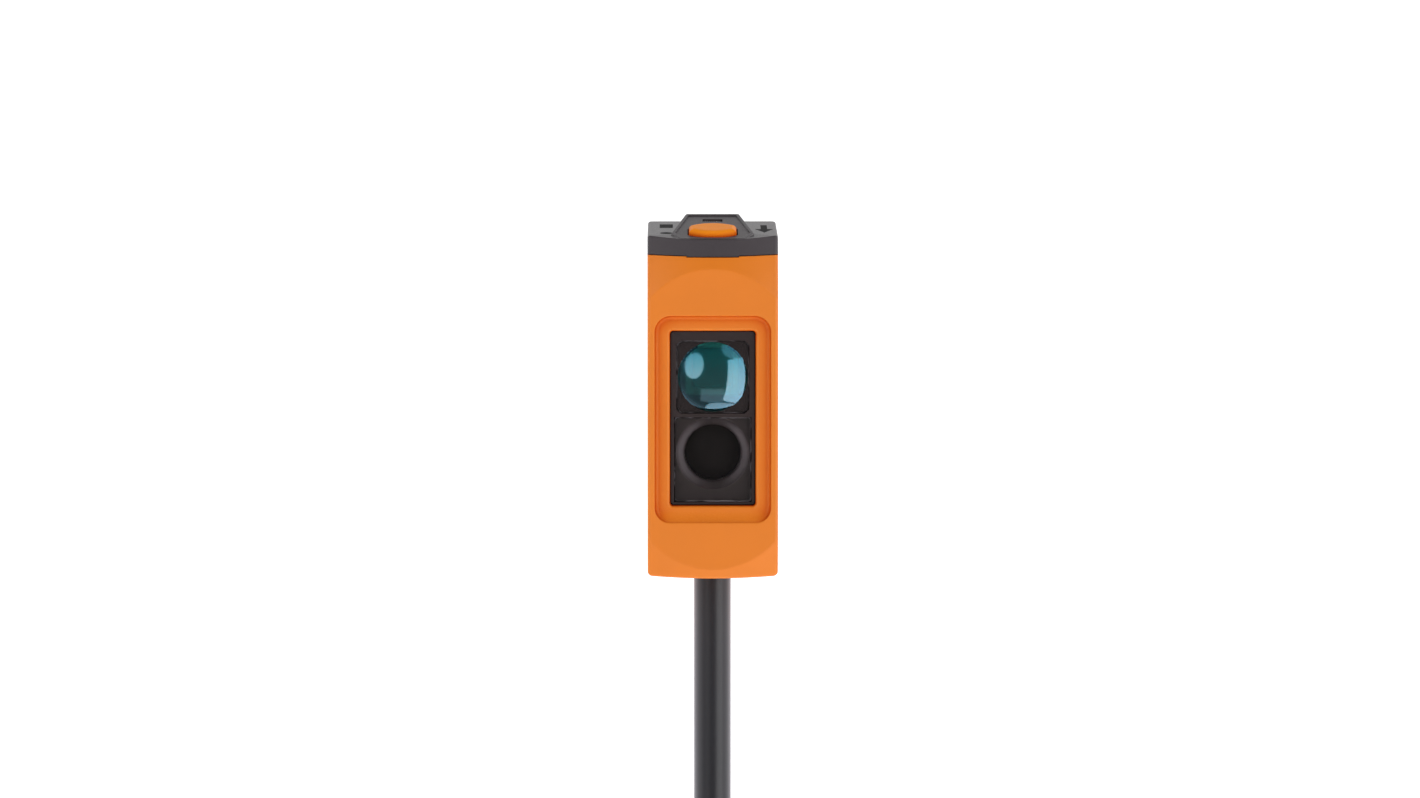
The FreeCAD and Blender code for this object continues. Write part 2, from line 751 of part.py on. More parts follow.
def gasket_ridge():
    """Ridge under the cap's rim that presses the gasket."""
    half = CAVITY_HALF + GASKET_WIDTH - RIDGE_PLAY
    depth = (CAVITY_FRONT - GASKET_WIDTH + RIDGE_PLAY, CAVITY_BACK + GASKET_WIDTH - RIDGE_PLAY)
    height = (GASKET_HIGH, SEAM + SEAM_REACH)
    hole = (SKIRT_FRONT + SKIRT_WALL, CAVITY_BACK - SKIRT_WALL)
    return slab(half, depth, height).cut(slab(SKIRT_HALF - SKIRT_WALL, hole, height))


def top_cap():
    """Dark cap with the hump, the button's opening and the indicator slot."""
    cap = cap_plate().cut(cap_pockets())
    cap = cap.fuse(gasket_ridge()).fuse(skirt()).fuse(hump())
    cap = cap.removeSplitter()
    lowest_base = BUTTON_BASE - BUTTON_TRAVEL - OVERLAP
    cap = cap.cut(button_plan(BUTTON_PLAY, lowest_base).extrude(UP * 4))
    pocket = button_flange(FLANGE_PLAY)
    for shift in (-BUTTON_TRAVEL - POCKET_RELIEF, POCKET_RELIEF):
        pocket = pocket.fuse(button_flange(FLANGE_PLAY).translated(UP * shift))
    cap = cap.cut(pocket)
    return cap.cut(guide_solid(GUIDE_PLAY))


# ---- setting button, seal and switch --------------------------------------------------------------


def set_button():
    """Button with a sloped, softly edged top, a retaining collar and a stem."""
    body = button_plan(0, BUTTON_BASE).extrude(UP * 4)
    front = BUTTON_Y - BUTTON_MIDDLE_DEPTH
    back = BUTTON_Y + BUTTON_MIDDLE_DEPTH
    above = outline(
        V(-WIDTH, front, ramp_height(front) + BUTTON_PROUD),
        V(-WIDTH, back, ramp_height(back) + BUTTON_PROUD),
        V(-WIDTH, back, TOP + 5),
        V(-WIDTH, front, TOP + 5),
        V(-WIDTH, front, ramp_height(front) + BUTTON_PROUD),
    ).extrude(RIGHT * 2 * WIDTH)
    body = body.cut(above)
    top_edges = edges_where(
        body, lambda box: box.ZMin > TOP - BUTTON_RIM_DROP and box.ZLength < BUTTON_RIM_RISE
    )
    body = body.makeFillet(BUTTON_EDGE, top_edges)
    body = body.fuse(button_flange(0))
    body = body.fuse(upright(STEM_RADIUS, STEM_Y, (STEM_END, BUTTON_BASE + SINK)))
    return body.removeSplitter()


def button_seal():
    """Silicone seal: a flange under the clamp, a soft cone and a crown under the stem."""
    y = STEM_Y
    outer = SEAL_INNER + SEAL_WALL
    inner_crown = SEAL_CROWN_RADIUS - SEAL_WALL
    profile = outline(
        V(SEAL_INNER, y, SWITCH_BOARD_HIGH),
        V(CLAMP_OUTER, y, SWITCH_BOARD_HIGH),
        V(CLAMP_OUTER, y, SEAL_FLANGE_TOP),
        V(CLAMP_INNER, y, SEAL_FLANGE_TOP),
        V(outer - SEAL_TAPER, y, SEAL_SHOULDER),
        V(SEAL_CROWN_RADIUS + SEAL_TAPER, y, SEAL_CROWN_HIGH),
        V(0, y, SEAL_CROWN_HIGH),
        V(0, y, SEAL_CROWN_LOW),
        V(inner_crown, y, SEAL_CROWN_LOW),
        V(SEAL_INNER - SEAL_TAPER, y, SEAL_SHOULDER + SEAL_TAPER),
        V(SEAL_INNER, y, SWITCH_BOARD_HIGH),
    )
    return turned(profile)


def switch_board():
    """Small board under the cap, with a way for the flex link."""
    depth = (SWITCH_BOARD_FRONT, SWITCH_BOARD_BACK)
    return slab(BOARD_HALF, depth, (SWITCH_BOARD_LOW, SWITCH_BOARD_HIGH))


def switch_body():
    """Square body of the push switch with a well for its dome."""
    depth = (STEM_Y - SWITCH_HALF, STEM_Y + SWITCH_HALF)
    body = slab(SWITCH_HALF, depth, (SWITCH_BOARD_HIGH, SWITCH_TOP))
    body = body.cut(upright(SWITCH_WELL_RADIUS, STEM_Y, (SWITCH_WELL_LOW, SWITCH_WELL_HIGH)))
    hole_height = (SWITCH_WELL_HIGH - OVERLAP, SWITCH_TOP + OVERLAP)
    hole = upright(PLUNGER_RADIUS + PLUNGER_PLAY, STEM_Y, hole_height)
    return body.cut(hole)


def switch_plunger():
    """Plunger with a wider foot that keeps it in the switch."""
    foot = upright(PLUNGER_FOOT_RADIUS, STEM_Y, (PLUNGER_FOOT_LOW, PLUNGER_FOOT_HIGH))
    return foot.fuse(upright(PLUNGER_RADIUS, STEM_Y, (PLUNGER_FOOT_LOW, PLUNGER_TOP)))


def switch_dome():
    """Thin metal snap dome under the plunger."""
    rim = SWITCH_WELL_LOW + DOME_LIFT
    rise = DOME_CROWN - rim
    outer_radius = (DOME_RADIUS ** 2 + rise ** 2) / (2 * rise)
    centre = V(0, STEM_Y, DOME_CROWN - outer_radius)
    shell = Part.makeSphere(outer_radius, centre)
    shell = shell.cut(Part.makeSphere(outer_radius - DOME_THICKNESS, centre))
    return shell.common(upright(DOME_RADIUS + MARGIN, STEM_Y, (rim, DOME_CROWN + MARGIN)))


# ---- indicator ------------------------------------------------------------------------------------


def indicator_led():
    """Small lamp on the switch board under the light guide."""
    depth = (GUIDE_END_Y - INDICATOR_DEPTH / 2, GUIDE_END_Y + INDICATOR_DEPTH / 2)
    height = (SWITCH_BOARD_HIGH, SWITCH_BOARD_HIGH + INDICATOR_HEIGHT)
    lamp = slab(INDICATOR_HALF, depth, height)
    top_edges = edges_where(lamp, lambda box: near(box.ZMin, height[1]))
    return lamp.makeChamfer(INDICATOR_CHAMFER, top_edges)


def light_guide():
    """Clear guide, cut off just below the hump's surface."""
    guide = guide_solid(0)
    limit = hump_side().translated(UP * -GUIDE_SUNK)
    deep = block((-WIDTH, WIDTH), (FRONT, BACK), (SWITCH_BOARD_HIGH, TOP - MARGIN / 2))
    return guide.common(limit.fuse(deep))


# ---- optics -----------------------------------------------------------------------------------------


def carrier_outside():
    """Plug through the housing's opening, flange behind it, block and two posts."""
    plug_height = (OPENING_LOW + CARRIER_PLAY, OPENING_HIGH - CARRIER_PLAY)
    plug_depth = (CARRIER_FRONT, CARRIER_FLANGE_BACK)
    solid = rounded_slab(OPENING_HALF - CARRIER_PLAY, plug_depth, plug_height, OPENING_CORNER)
    flange_height = (CARRIER_FLANGE_LOW, CARRIER_FLANGE_HIGH)
    flange_depth = (CARRIER_FLANGE_FRONT, CARRIER_FLANGE_BACK)
    solid = solid.fuse(slab(CARRIER_FLANGE_HALF, flange_depth, flange_height))
    block_height = (CARRIER_BLOCK_LOW, CARRIER_BLOCK_HIGH)
    block_depth = (CARRIER_FLANGE_BACK - OVERLAP, CARRIER_BACK)
    solid = solid.fuse(slab(CARRIER_BLOCK_HALF, block_depth, block_height))
    for side in SIDES:
        x = sorted((side * POST_INNER, side * POST_OUTER))
        post_height = (CARRIER_FLANGE_HIGH - MARGIN, SWITCH_BOARD_LOW)
        post = block(x, (CARRIER_FLANGE_FRONT, POST_BACK), post_height)
        solid = solid.fuse(post)
    return solid.removeSplitter()


def chamfered_plate(half, y, z, chamfer):
    """Plate across the depth with its corners cut off."""
    plate = slab(half, y, z)
    return plate.makeChamfer(chamfer, edges_where(plate, runs_lengthwise))


def receiver_way():
    """Cutter for the lens seat and the square funnel down to the photodiode."""
    half = LENS_FLANGE_HALF + LENS_PLAY
    height = (RECEIVER_Z - half, RECEIVER_Z + half)
    seat_depth = (CARRIER_FRONT - MARGIN, LENS_SEAT)
    seat = chamfered_plate(half, seat_depth, height, LENS_FLANGE_CHAMFER)
    wide = slab(FUNNEL_HALF, (LENS_SEAT, LENS_SEAT + OVERLAP),
                (RECEIVER_Z - FUNNEL_HALF, RECEIVER_Z + FUNNEL_HALF))
    mouth = front_square(FUNNEL_HALF, RECEIVER_Z, LENS_SEAT)
    throat = front_square(FUNNEL_END_HALF, RECEIVER_Z, FUNNEL_END)
    funnel = Part.makeLoft([mouth, throat], True, True)
    pocket_half = DIODE_HALF_HEIGHT + DIODE_AIR
    diode_height = (RECEIVER_Z - pocket_half, RECEIVER_Z + pocket_half)
    diode_pocket = slab(DIODE_HALF_WIDTH + DIODE_AIR, (FUNNEL_END, CARRIER_BACK + MARGIN), diode_height)
    return seat.fuse(wide).fuse(funnel).fuse(diode_pocket)


def front_square(half, z, depth):
    """Closed square in a plane across the depth."""
    corners = [(-half, -half), (half, -half), (half, half), (-half, half), (-half, -half)]
    return Part.makePolygon([V(x, depth, z + rise) for x, rise in corners])


def emitter_way():
    """Cutter for the window seat, the cone behind it and the stepped tube to the emitter."""
    half = WINDOW_HALF + LENS_PLAY
    height = (WINDOW_LOW - LENS_PLAY, WINDOW_HIGH + LENS_PLAY)
    seat = slab(half, (CARRIER_FRONT - MARGIN, WINDOW_SEAT), height)
    cone_start = V(0, WINDOW_SEAT, EMITTER_Z)
    depth = CONE_BACK - WINDOW_SEAT
    cone = Part.makeCone(CONE_RADIUS, TUBE_RADIUS, depth, cone_start, BACKWARD)
    tube = lengthwise(TUBE_RADIUS, EMITTER_Z, (CONE_BACK, EMITTER_LENS_BACK))
    rear = lengthwise(EMITTER_REAR_RADIUS, EMITTER_Z, (EMITTER_LENS_BACK, CARRIER_BACK + MARGIN))
    return seat.fuse(cone).fuse(tube).fuse(rear)


def optics_carrier():
    """Black carrier that holds the lens, the window and the emitter lens in line."""
    return carrier_outside().cut(receiver_way()).cut(emitter_way())


def lens_gasket():
    """Flat foam ring between the carrier's flange and the housing's front wall."""
    depth = (CAVITY_FRONT, CARRIER_FLANGE_FRONT)
    outer = slab(CARRIER_FLANGE_HALF, depth, (CARRIER_FLANGE_LOW, CARRIER_FLANGE_HIGH))
    hole_height = (OPENING_LOW - LENS_GASKET_INSET, OPENING_HIGH + LENS_GASKET_INSET)
    return outer.cut(slab(OPENING_HALF + LENS_GASKET_INSET, depth, hole_height))


def cap_of_sphere(radius, bulge, face, z, forward):
    """Lens-shaped cap on a plane across the depth, bulging forward or backward."""
    sphere_radius = (radius ** 2 + bulge ** 2) / (2 * bulge)
    sign = -1 if forward else 1
    centre = V(0, face - sign * (sphere_radius - bulge), z)
    ball = Part.makeSphere(sphere_radius, centre)
    far = face + sign * (bulge + MARGIN)
    return ball.common(lengthwise(radius, z, sorted((face, far))))


def receiver_lens():
    """Square lens plate with a round bulge in front and a flatter one behind."""
    height = (RECEIVER_Z - LENS_FLANGE_HALF, RECEIVER_Z + LENS_FLANGE_HALF)
    plate = chamfered_plate(
        LENS_FLANGE_HALF, (LENS_FLANGE_FRONT, LENS_SEAT), height, LENS_FLANGE_CHAMFER
    )
    front = cap_of_sphere(LENS_RADIUS, LENS_BULGE, LENS_FLANGE_FRONT, RECEIVER_Z, True)
    rear = cap_of_sphere(LENS_REAR_RADIUS, LENS_REAR_BULGE, LENS_SEAT, RECEIVER_Z, False)
    return plate.fuse(front).fuse(rear).removeSplitter()


def emitter_window():
    """Flat clear window over the emitter tube."""
    return slab(WINDOW_HALF, (WINDOW_FRONT, WINDOW_SEAT), (WINDOW_LOW, WINDOW_HIGH))


def emitter_lens():
    """Dark filter lens in the emitter tube."""
    rim_depth = (EMITTER_LENS_RIM, EMITTER_LENS_BACK - EMITTER_LENS_GAP)
    rim = lengthwise(EMITTER_LENS_RADIUS, EMITTER_Z, rim_depth)
    bulge = EMITTER_LENS_RIM - EMITTER_LENS_FRONT
    front = cap_of_sphere(EMITTER_LENS_RADIUS, bulge, EMITTER_LENS_RIM, EMITTER_Z, True)
    return rim.fuse(front)


# ---- boards and components --------------------------------------------------------------------------


def pin_places():
    first = -PIN_PITCH * (PIN_COUNT - 1) / 2
    return [first + index * PIN_PITCH for index in range(PIN_COUNT)]


def board_pins():
    """Square pins that join the optics board to the main board."""
    depth = (OPTICS_BOARD_FRONT - PIN_NOSE, MAIN_BOARD_BACK + PIN_PROUD)
    height = (HEADER_Z - PIN_HALF, HEADER_Z + PIN_HALF)
    return Part.makeCompound([block((x - PIN_HALF, x + PIN_HALF), depth, height)
                              for x in pin_places()])


def pin_header():
    """Plastic bar that keeps the two boards apart."""
    depth = (OPTICS_BOARD_BACK, MAIN_BOARD_FRONT)
    height = (HEADER_Z - HEADER_HALF_HEIGHT, HEADER_Z + HEADER_HALF_HEIGHT)
    return slab(HEADER_HALF_WIDTH, depth, height).cut(board_pins())


def optics_board():
    """Board behind the carrier, with the photodiode and the emitter."""
    depth = (OPTICS_BOARD_FRONT, OPTICS_BOARD_BACK)
    return slab(BOARD_HALF, depth, (OPTICS_BOARD_LOW, OPTICS_BOARD_HIGH)).cut(board_pins())


def main_board():
    """Long board that takes the cable's cores."""
    depth = (MAIN_BOARD_FRONT, MAIN_BOARD_BACK)
    return slab(BOARD_HALF, depth, (MAIN_BOARD_LOW, MAIN_BOARD_HIGH)).cut(board_pins())


def photodiode_base():
    """Carrier chip of the photodiode."""
    height = (RECEIVER_Z - DIODE_HALF_HEIGHT, RECEIVER_Z + DIODE_HALF_HEIGHT)
    front = OPTICS_BOARD_FRONT - DIODE_THICKNESS
    base = slab(DIODE_HALF_WIDTH, (front, OPTICS_BOARD_FRONT), height)
    return base.makeChamfer(DIODE_CHAMFER, edges_where(base, lies_at_depth(front)))


def photodiode_die():
    """Light-sensitive chip in front of its base."""
    front = OPTICS_BOARD_FRONT - DIODE_THICKNESS
    height = (RECEIVER_Z - DIE_HALF, RECEIVER_Z + DIE_HALF)
    return slab(DIE_HALF, (front - DIE_THICKNESS, front), height)


def emitter_led():
    """Red emitter with a clear dome."""
    front = OPTICS_BOARD_FRONT - EMITTER_THICKNESS
    height = (EMITTER_Z - EMITTER_HALF_HEIGHT, EMITTER_Z + EMITTER_HALF_HEIGHT)
    base = slab(EMITTER_HALF_WIDTH, (front, OPTICS_BOARD_FRONT), height)
    bulge = EMITTER_DOME_BULGE
    return base.fuse(cap_of_sphere(EMITTER_DOME_RADIUS, bulge, front, EMITTER_Z, True))


def receiver_shield():
    """Thin metal box behind the photodiode."""
    depth = (OPTICS_BOARD_BACK, OPTICS_BOARD_BACK + SHIELD_DEPTH)
    outer = slab(SHIELD_HALF, depth, (SHIELD_LOW, SHIELD_HIGH))
    rear_edges = edges_where(outer, lies_at_depth(depth[1]))
    outer = outer.makeFillet(SHIELD_WALL, rear_edges)
    inner_depth = (depth[0], depth[1] - SHIELD_WALL)
    inner_height = (SHIELD_LOW + SHIELD_WALL, SHIELD_HIGH - SHIELD_WALL)
    return outer.cut(slab(SHIELD_HALF - SHIELD_WALL, inner_depth, inner_height))


def front_component(half_width, half_height, z, thickness):
    """Package on the front of the main board."""
    depth = (MAIN_BOARD_FRONT - thickness, MAIN_BOARD_FRONT)
    return slab(half_width, depth, (z - half_height, z + half_height))


def rear_component(half_width, half_height, z, thickness, edge):
    """Package on the back of the main board, with softened outer edges."""
    far = MAIN_BOARD_BACK + thickness
    package = slab(half_width, (MAIN_BOARD_BACK, far), (z - half_height, z + half_height))
    return package.makeChamfer(edge, edges_where(package, lies_at_depth(far)))


def controller_chip():
    """Microcontroller."""
    return front_component(CHIP_HALF, CHIP_HALF, CHIP_Z, CHIP_THICKNESS)


def output_driver():
    """Output stage."""
    return rear_component(DRIVER_HALF_WIDTH, DRIVER_HALF_HEIGHT, DRIVER_Z, DRIVER_THICKNESS,
                          DRIVER_CHAMFER)


def buffer_capacitor():
    """Tantalum buffer capacitor."""
    half_width = CAPACITOR_HALF_WIDTH
    thickness = CAPACITOR_THICKNESS
    return rear_component(half_width, CAPACITOR_HALF_HEIGHT, CAPACITOR_Z, thickness,
                          CAPACITOR_CHAMFER)


def surge_diode():
    """Surge protection diode."""
    return rear_component(SURGE_HALF_WIDTH, SURGE_HALF_HEIGHT, SURGE_Z, SURGE_THICKNESS,
                          SURGE_CHAMFER)


def small_packages(places, thickness):
    """Group of small two-ended packages on the back of the main board."""
    far = MAIN_BOARD_BACK + thickness
    group = []
    for x, z in places:
        width = (x - SMALL_HALF_WIDTH, x + SMALL_HALF_WIDTH)
        height = (z - SMALL_HALF_HEIGHT, z + SMALL_HALF_HEIGHT)
        group.append(block(width, (MAIN_BOARD_BACK, far), height))
    return Part.makeCompound(group)


def small_capacitors():
    """Four ceramic capacitors beside the surge diode and over the output stage."""
    row_z = DRIVER_Z + DRIVER_HALF_HEIGHT + 2 * SMALL_HALF_HEIGHT
    column_x = BOARD_HALF - 1.5 * SMALL_HALF_WIDTH
    places = [(-column_x, row_z), (column_x, row_z), (-column_x, SURGE_Z), (column_x, SURGE_Z)]
    return small_packages(places, CERAMIC_THICKNESS)


def small_resistors():
    """Row of three resistors between the surge diode and the buffer capacitor."""
    row_z = SURGE_Z + SURGE_HALF_HEIGHT + 2.5 * SMALL_HALF_HEIGHT
    step = 3 * SMALL_HALF_WIDTH
    return small_packages([(index * step, row_z) for index in (-1, 0, 1)], RESISTOR_THICKNESS)


def flex_link():
    """Flexible conductor strip from the main board round under the switch board."""
    outer = MAIN_BOARD_FRONT - FLEX_THICKNESS
    rise = slab(FLEX_HALF, (outer, MAIN_BOARD_FRONT), (FLEX_LOW, SWITCH_BOARD_LOW))
    run_height = (SWITCH_BOARD_LOW - FLEX_THICKNESS, SWITCH_BOARD_LOW)
    run = slab(FLEX_HALF, (FLEX_FRONT, MAIN_BOARD_FRONT), run_height)
    return rise.fuse(run).removeSplitter()


def mounting_sleeves():
    """Two metal sleeves across the housing that carry the fixing screws."""
    sleeves = []
    reach = HALF - SLEEVE_RECESS
    for z in (-HOLE_SPACING / 2, HOLE_SPACING / 2):
        outer = crosswise(SLEEVE_RADIUS, 0, z, reach)
        sleeve = outer.cut(crosswise(SCREW_HOLE_RADIUS, 0, z, HALF + MARGIN))
        ends = edges_where(sleeve, lambda box: near(box.XLength, 0))
        sleeves.append(sleeve.makeChamfer(SLEEVE_EDGE, ends))
    return Part.makeCompound(sleeves)


# ---- cable ------------------------------------------------------------------------------------------

# Each core: side of the cable, front or rear of the cable, and its pad counted from the left.
CORE_PLACES = {
    "core_brown": (-1, -1, 0),
    "core_white": (-1, 1, 1),
    "core_blue": (1, 1, 2),
    "core_black": (1, -1, 3),
}


def pad_x(pad):
    return (pad - (len(CORE_PLACES) - 1) / 2) * PAD_PITCH


def core_path(name):
    """Edges of a core's way from its free tip, up the cable and on to its pad."""
    side, rear, pad = CORE_PLACES[name]
    x = side * CORE_OFFSET
    y = CABLE_Y + rear * CORE_OFFSET
    swing = V(side, rear, 0) * TIP_SPREAD
    leave = V(x, y, CABLE_END)
    enter = V(x, y, CABLE_TOP)
    land = V(pad_x(pad), CORE_RUN_Y, CORE_LANDING)
    drop = leave.z - TIP_END
    climb = land.z - enter.z
    tip = bezier(
        leave + swing - UP * drop,
        leave + swing * TIP_SWING - UP * drop * TIP_SWING_DROP,
        leave - UP * drop * TIP_EASE,
        leave,
    )
    straight = Part.LineSegment(leave, enter).toShape()
    bend = bezier(
        enter,
        enter + UP * climb * BEND_EASE_IN,
        V(land.x, enter.y + BEND_LEAN, enter.z + climb * BEND_TURN),
        land - UP * climb * BEND_EASE_OUT,
        land,
    )
    finish = Part.LineSegment(land, V(land.x, land.y, PAD_Z)).toShape()
    return [tip, straight, bend, finish]


def conductor(name):
    """Stranded conductor of one core, drawn as one bar."""
    return bar_along(core_path(name), CONDUCTOR_RADIUS)


def core(name):
    """Coloured insulation of one core, stripped at both ends."""
    everywhere = (-WIDTH, WIDTH)
    insulated = block(everywhere, (FRONT, BACK), (TIP_END + TIP_BARE, PAD_Z - CORE_STRIP))
    return bar_along(core_path(name), CORE_RADIUS).common(insulated).cut(conductor(name))


def conductors():
    """The four conductors."""
    return Part.makeCompound([conductor(name) for name in CORE_PLACES])


def solder_joints():
    """Solder on the four pads."""
    joints = []
    for name, (_, _, pad) in CORE_PLACES.items():
        ball = Part.makeSphere(SOLDER_RADIUS, V(pad_x(pad), MAIN_BOARD_FRONT - SOLDER_RISE, PAD_Z))
        behind = block((-WIDTH, WIDTH), (MAIN_BOARD_FRONT, BACK), (BOTTOM, TOP))
        joints.append(ball.cut(behind).cut(conductor(name)))
    return Part.makeCompound(joints)


def cable_jacket():
    """Jacket of the cable, cut off below the housing and squeezed by the seal inside it."""
    free = upright(CABLE_RADIUS, CABLE_Y, (CABLE_END, BOTTOM))
    squeezed = upright(SQUEEZED_RADIUS, CABLE_Y, (BOTTOM, CABLE_TOP))
    bore = upright(JACKET_INNER, CABLE_Y, (CABLE_END, CABLE_TOP))
    return free.fuse(squeezed).cut(bore)


def cable_seal():
    """Rubber grommet with two lips round the cable."""
    low = CABLE_BORE_FLOOR + RING_PLAY
    height = (low, SEAL_RING_TOP)
    ring = upright(CABLE_BORE_RADIUS - RING_PLAY, CABLE_Y, height)
    groove_low = low + (SEAL_RING_TOP - low) * RING_GROOVE_START
    groove_high = low + (SEAL_RING_TOP - low) * (1 - RING_GROOVE_START)
    groove = upright(CABLE_BORE_RADIUS, CABLE_Y, (groove_low, groove_high))
    groove = groove.cut(upright(CABLE_BORE_RADIUS - RING_GROOVE_DEPTH, CABLE_Y, (groove_low, groove_high)))
    return ring.cut(groove).cut(upright(SQUEEZED_RADIUS + CABLE_GRIP_PLAY, CABLE_Y, height))


def cable_clamp_ring():
    """Metal ring crimped on the cable over its seal."""
    height = (CLAMP_RING_LOW, CLAMP_RING_HIGH)
    ring = upright(CLAMP_RING_RADIUS, CABLE_Y, height)
    return ring.cut(upright(SQUEEZED_RADIUS + CABLE_GRIP_PLAY, CABLE_Y, height))


PARTS = {
    "housing": housing,
    "top_cap": top_cap,
    "cap_gasket": cap_gasket,
    "set_button": set_button,
    "button_seal": button_seal,
    "switch_board": switch_board,
    "switch_body": switch_body,
    "switch_dome": switch_dome,
    "switch_plunger": switch_plunger,
    "indicator_led": indicator_led,
    "light_guide": light_guide,
    "mounting_sleeves": mounting_sleeves,
    "optics_carrier": optics_carrier,
    "lens_gasket": lens_gasket,
    "receiver_lens": receiver_lens,
    "emitter_window": emitter_window,
    "emitter_lens": emitter_lens,
    "photodiode_base": photodiode_base,
    "photodiode_die": photodiode_die,
    "emitter_led": emitter_led,
    "optics_board": optics_board,
    "main_board": main_board,
    "pin_header": pin_header,
    "board_pins": board_pins,
    "flex_link": flex_link,
    "receiver_shield": receiver_shield,
    "controller_chip": controller_chip,
    "output_driver": output_driver,
    "buffer_capacitor": buffer_capacitor,
    "surge_diode": surge_diode,
    "small_capacitors": small_capacitors,
    "small_resistors": small_resistors,
    "solder_joints": solder_joints,
    "cable_seal": cable_seal,
    "cable_clamp_ring": cable_clamp_ring,
    "cable_jacket": cable_jacket,
    "conductors": conductors,
}


def main():
    os.makedirs("parts", exist_ok=True)
    shapes = {name: make() for name, make in PARTS.items()}
    for name in CORE_PLACES:
        shapes[name] = core(name)
    for name, shape in shapes.items():
        shape.exportStep(f"parts/{name}.step")


main()
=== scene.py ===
import math

import bmesh
import bpy
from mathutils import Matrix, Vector
from mathutils.bvhtree import BVHTree


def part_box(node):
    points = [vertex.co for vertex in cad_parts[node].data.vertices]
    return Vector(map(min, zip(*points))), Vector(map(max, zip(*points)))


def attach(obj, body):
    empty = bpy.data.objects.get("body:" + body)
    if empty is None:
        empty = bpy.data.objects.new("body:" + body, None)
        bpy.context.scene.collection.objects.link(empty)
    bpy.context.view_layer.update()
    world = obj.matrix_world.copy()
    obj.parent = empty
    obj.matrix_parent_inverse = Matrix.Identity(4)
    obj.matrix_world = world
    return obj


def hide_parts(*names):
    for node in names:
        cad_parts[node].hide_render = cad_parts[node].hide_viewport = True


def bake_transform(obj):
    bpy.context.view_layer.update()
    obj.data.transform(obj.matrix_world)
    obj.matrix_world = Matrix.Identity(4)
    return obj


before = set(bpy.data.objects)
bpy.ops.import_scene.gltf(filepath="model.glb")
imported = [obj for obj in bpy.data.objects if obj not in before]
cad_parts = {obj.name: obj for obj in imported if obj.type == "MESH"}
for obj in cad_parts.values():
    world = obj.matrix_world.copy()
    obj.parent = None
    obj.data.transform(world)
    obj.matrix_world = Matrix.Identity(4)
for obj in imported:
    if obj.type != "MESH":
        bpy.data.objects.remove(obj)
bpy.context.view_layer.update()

MM = 0.001
TURN = 2 * math.pi
CASE = "case"

# ---- places read from the CAD parts' boxes -------------------------------------------------------

HOUSING_LOW, HOUSING_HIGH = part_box("housing")
FRONT = HOUSING_LOW.y
CAP_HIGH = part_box("top_cap")[1]
LENS_LOW, LENS_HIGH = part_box("receiver_lens")
WINDOW_LOW, WINDOW_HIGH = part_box("emitter_window")
FILTER_LOW, FILTER_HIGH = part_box("emitter_lens")
JACKET_LOW, JACKET_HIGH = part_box("cable_jacket")
TIPS_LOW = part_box("conductors")[0]
SEAL_LOW, SEAL_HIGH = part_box("button_seal")
DOME_LOW, DOME_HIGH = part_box("switch_dome")

# ---- sizes and shares of the new pieces ----------------------------------------------------------

PLATE_EDGE = 0.11 * MM
LENS_CORNER = 0.45 * MM
LENS_RADIUS = 3.45 * MM
LENS_BULGE = 0.95 * MM
LENS_REAR_RADIUS = 3.0 * MM
LENS_REAR_BULGE = 0.55 * MM
LENS_FOOT = 0.03 * MM
LENS_STEP = 0.001 * MM
LENS_SURROUND = 3.52 * MM
WINDOW_CORNER = 0.2 * MM
FILTER_RADIUS = 2.7 * MM
FILTER_BULGE = 0.6 * MM
FILTER_EDGE = 0.05 * MM
JACKET_INNER = 1.25 * MM
JACKET_SQUEEZED = 1.78 * MM
JACKET_EDGE = 0.12 * MM
JACKET_ROUNDING = 0.3
JACKET_NECK = 0.3 * MM
JACKET_NECKING = 0.35 * MM
JACKET_CUT = 0.5 * MM
SEAL_FLANGE_SHARE = 0.28
SEAL_CROWN_SHARE = 0.82
DOME_SHEET_SHARE = 0.2
DOME_PINHOLE = 0.01
DIMPLE_DEPTH = 0.12
DIMPLE_REACH = 0.18
INK_THICKNESS = 0.012 * MM
LEFT_MARKS = -4.6 * MM
RIGHT_MARKS = 5.15 * MM

# Share of hidden sky at which a hollow counts as fully hemmed in; the painted shade on orange plastic
# is full there
FULLY_HEMMED = 0.26

# Painted highlight on the cone round the emitter tube, in millimetres from the tube's axis
CONE_START = 2.75
CONE_FULL = (3.05, 3.25)
CONE_END = 3.75

NEARLY_ZERO = 1e-9

# Depth part of a face's normal from which the face counts as facing the front or the back
FACES_FRONT = 0.95


# ---- shader building -----------------------------------------------------------------------------


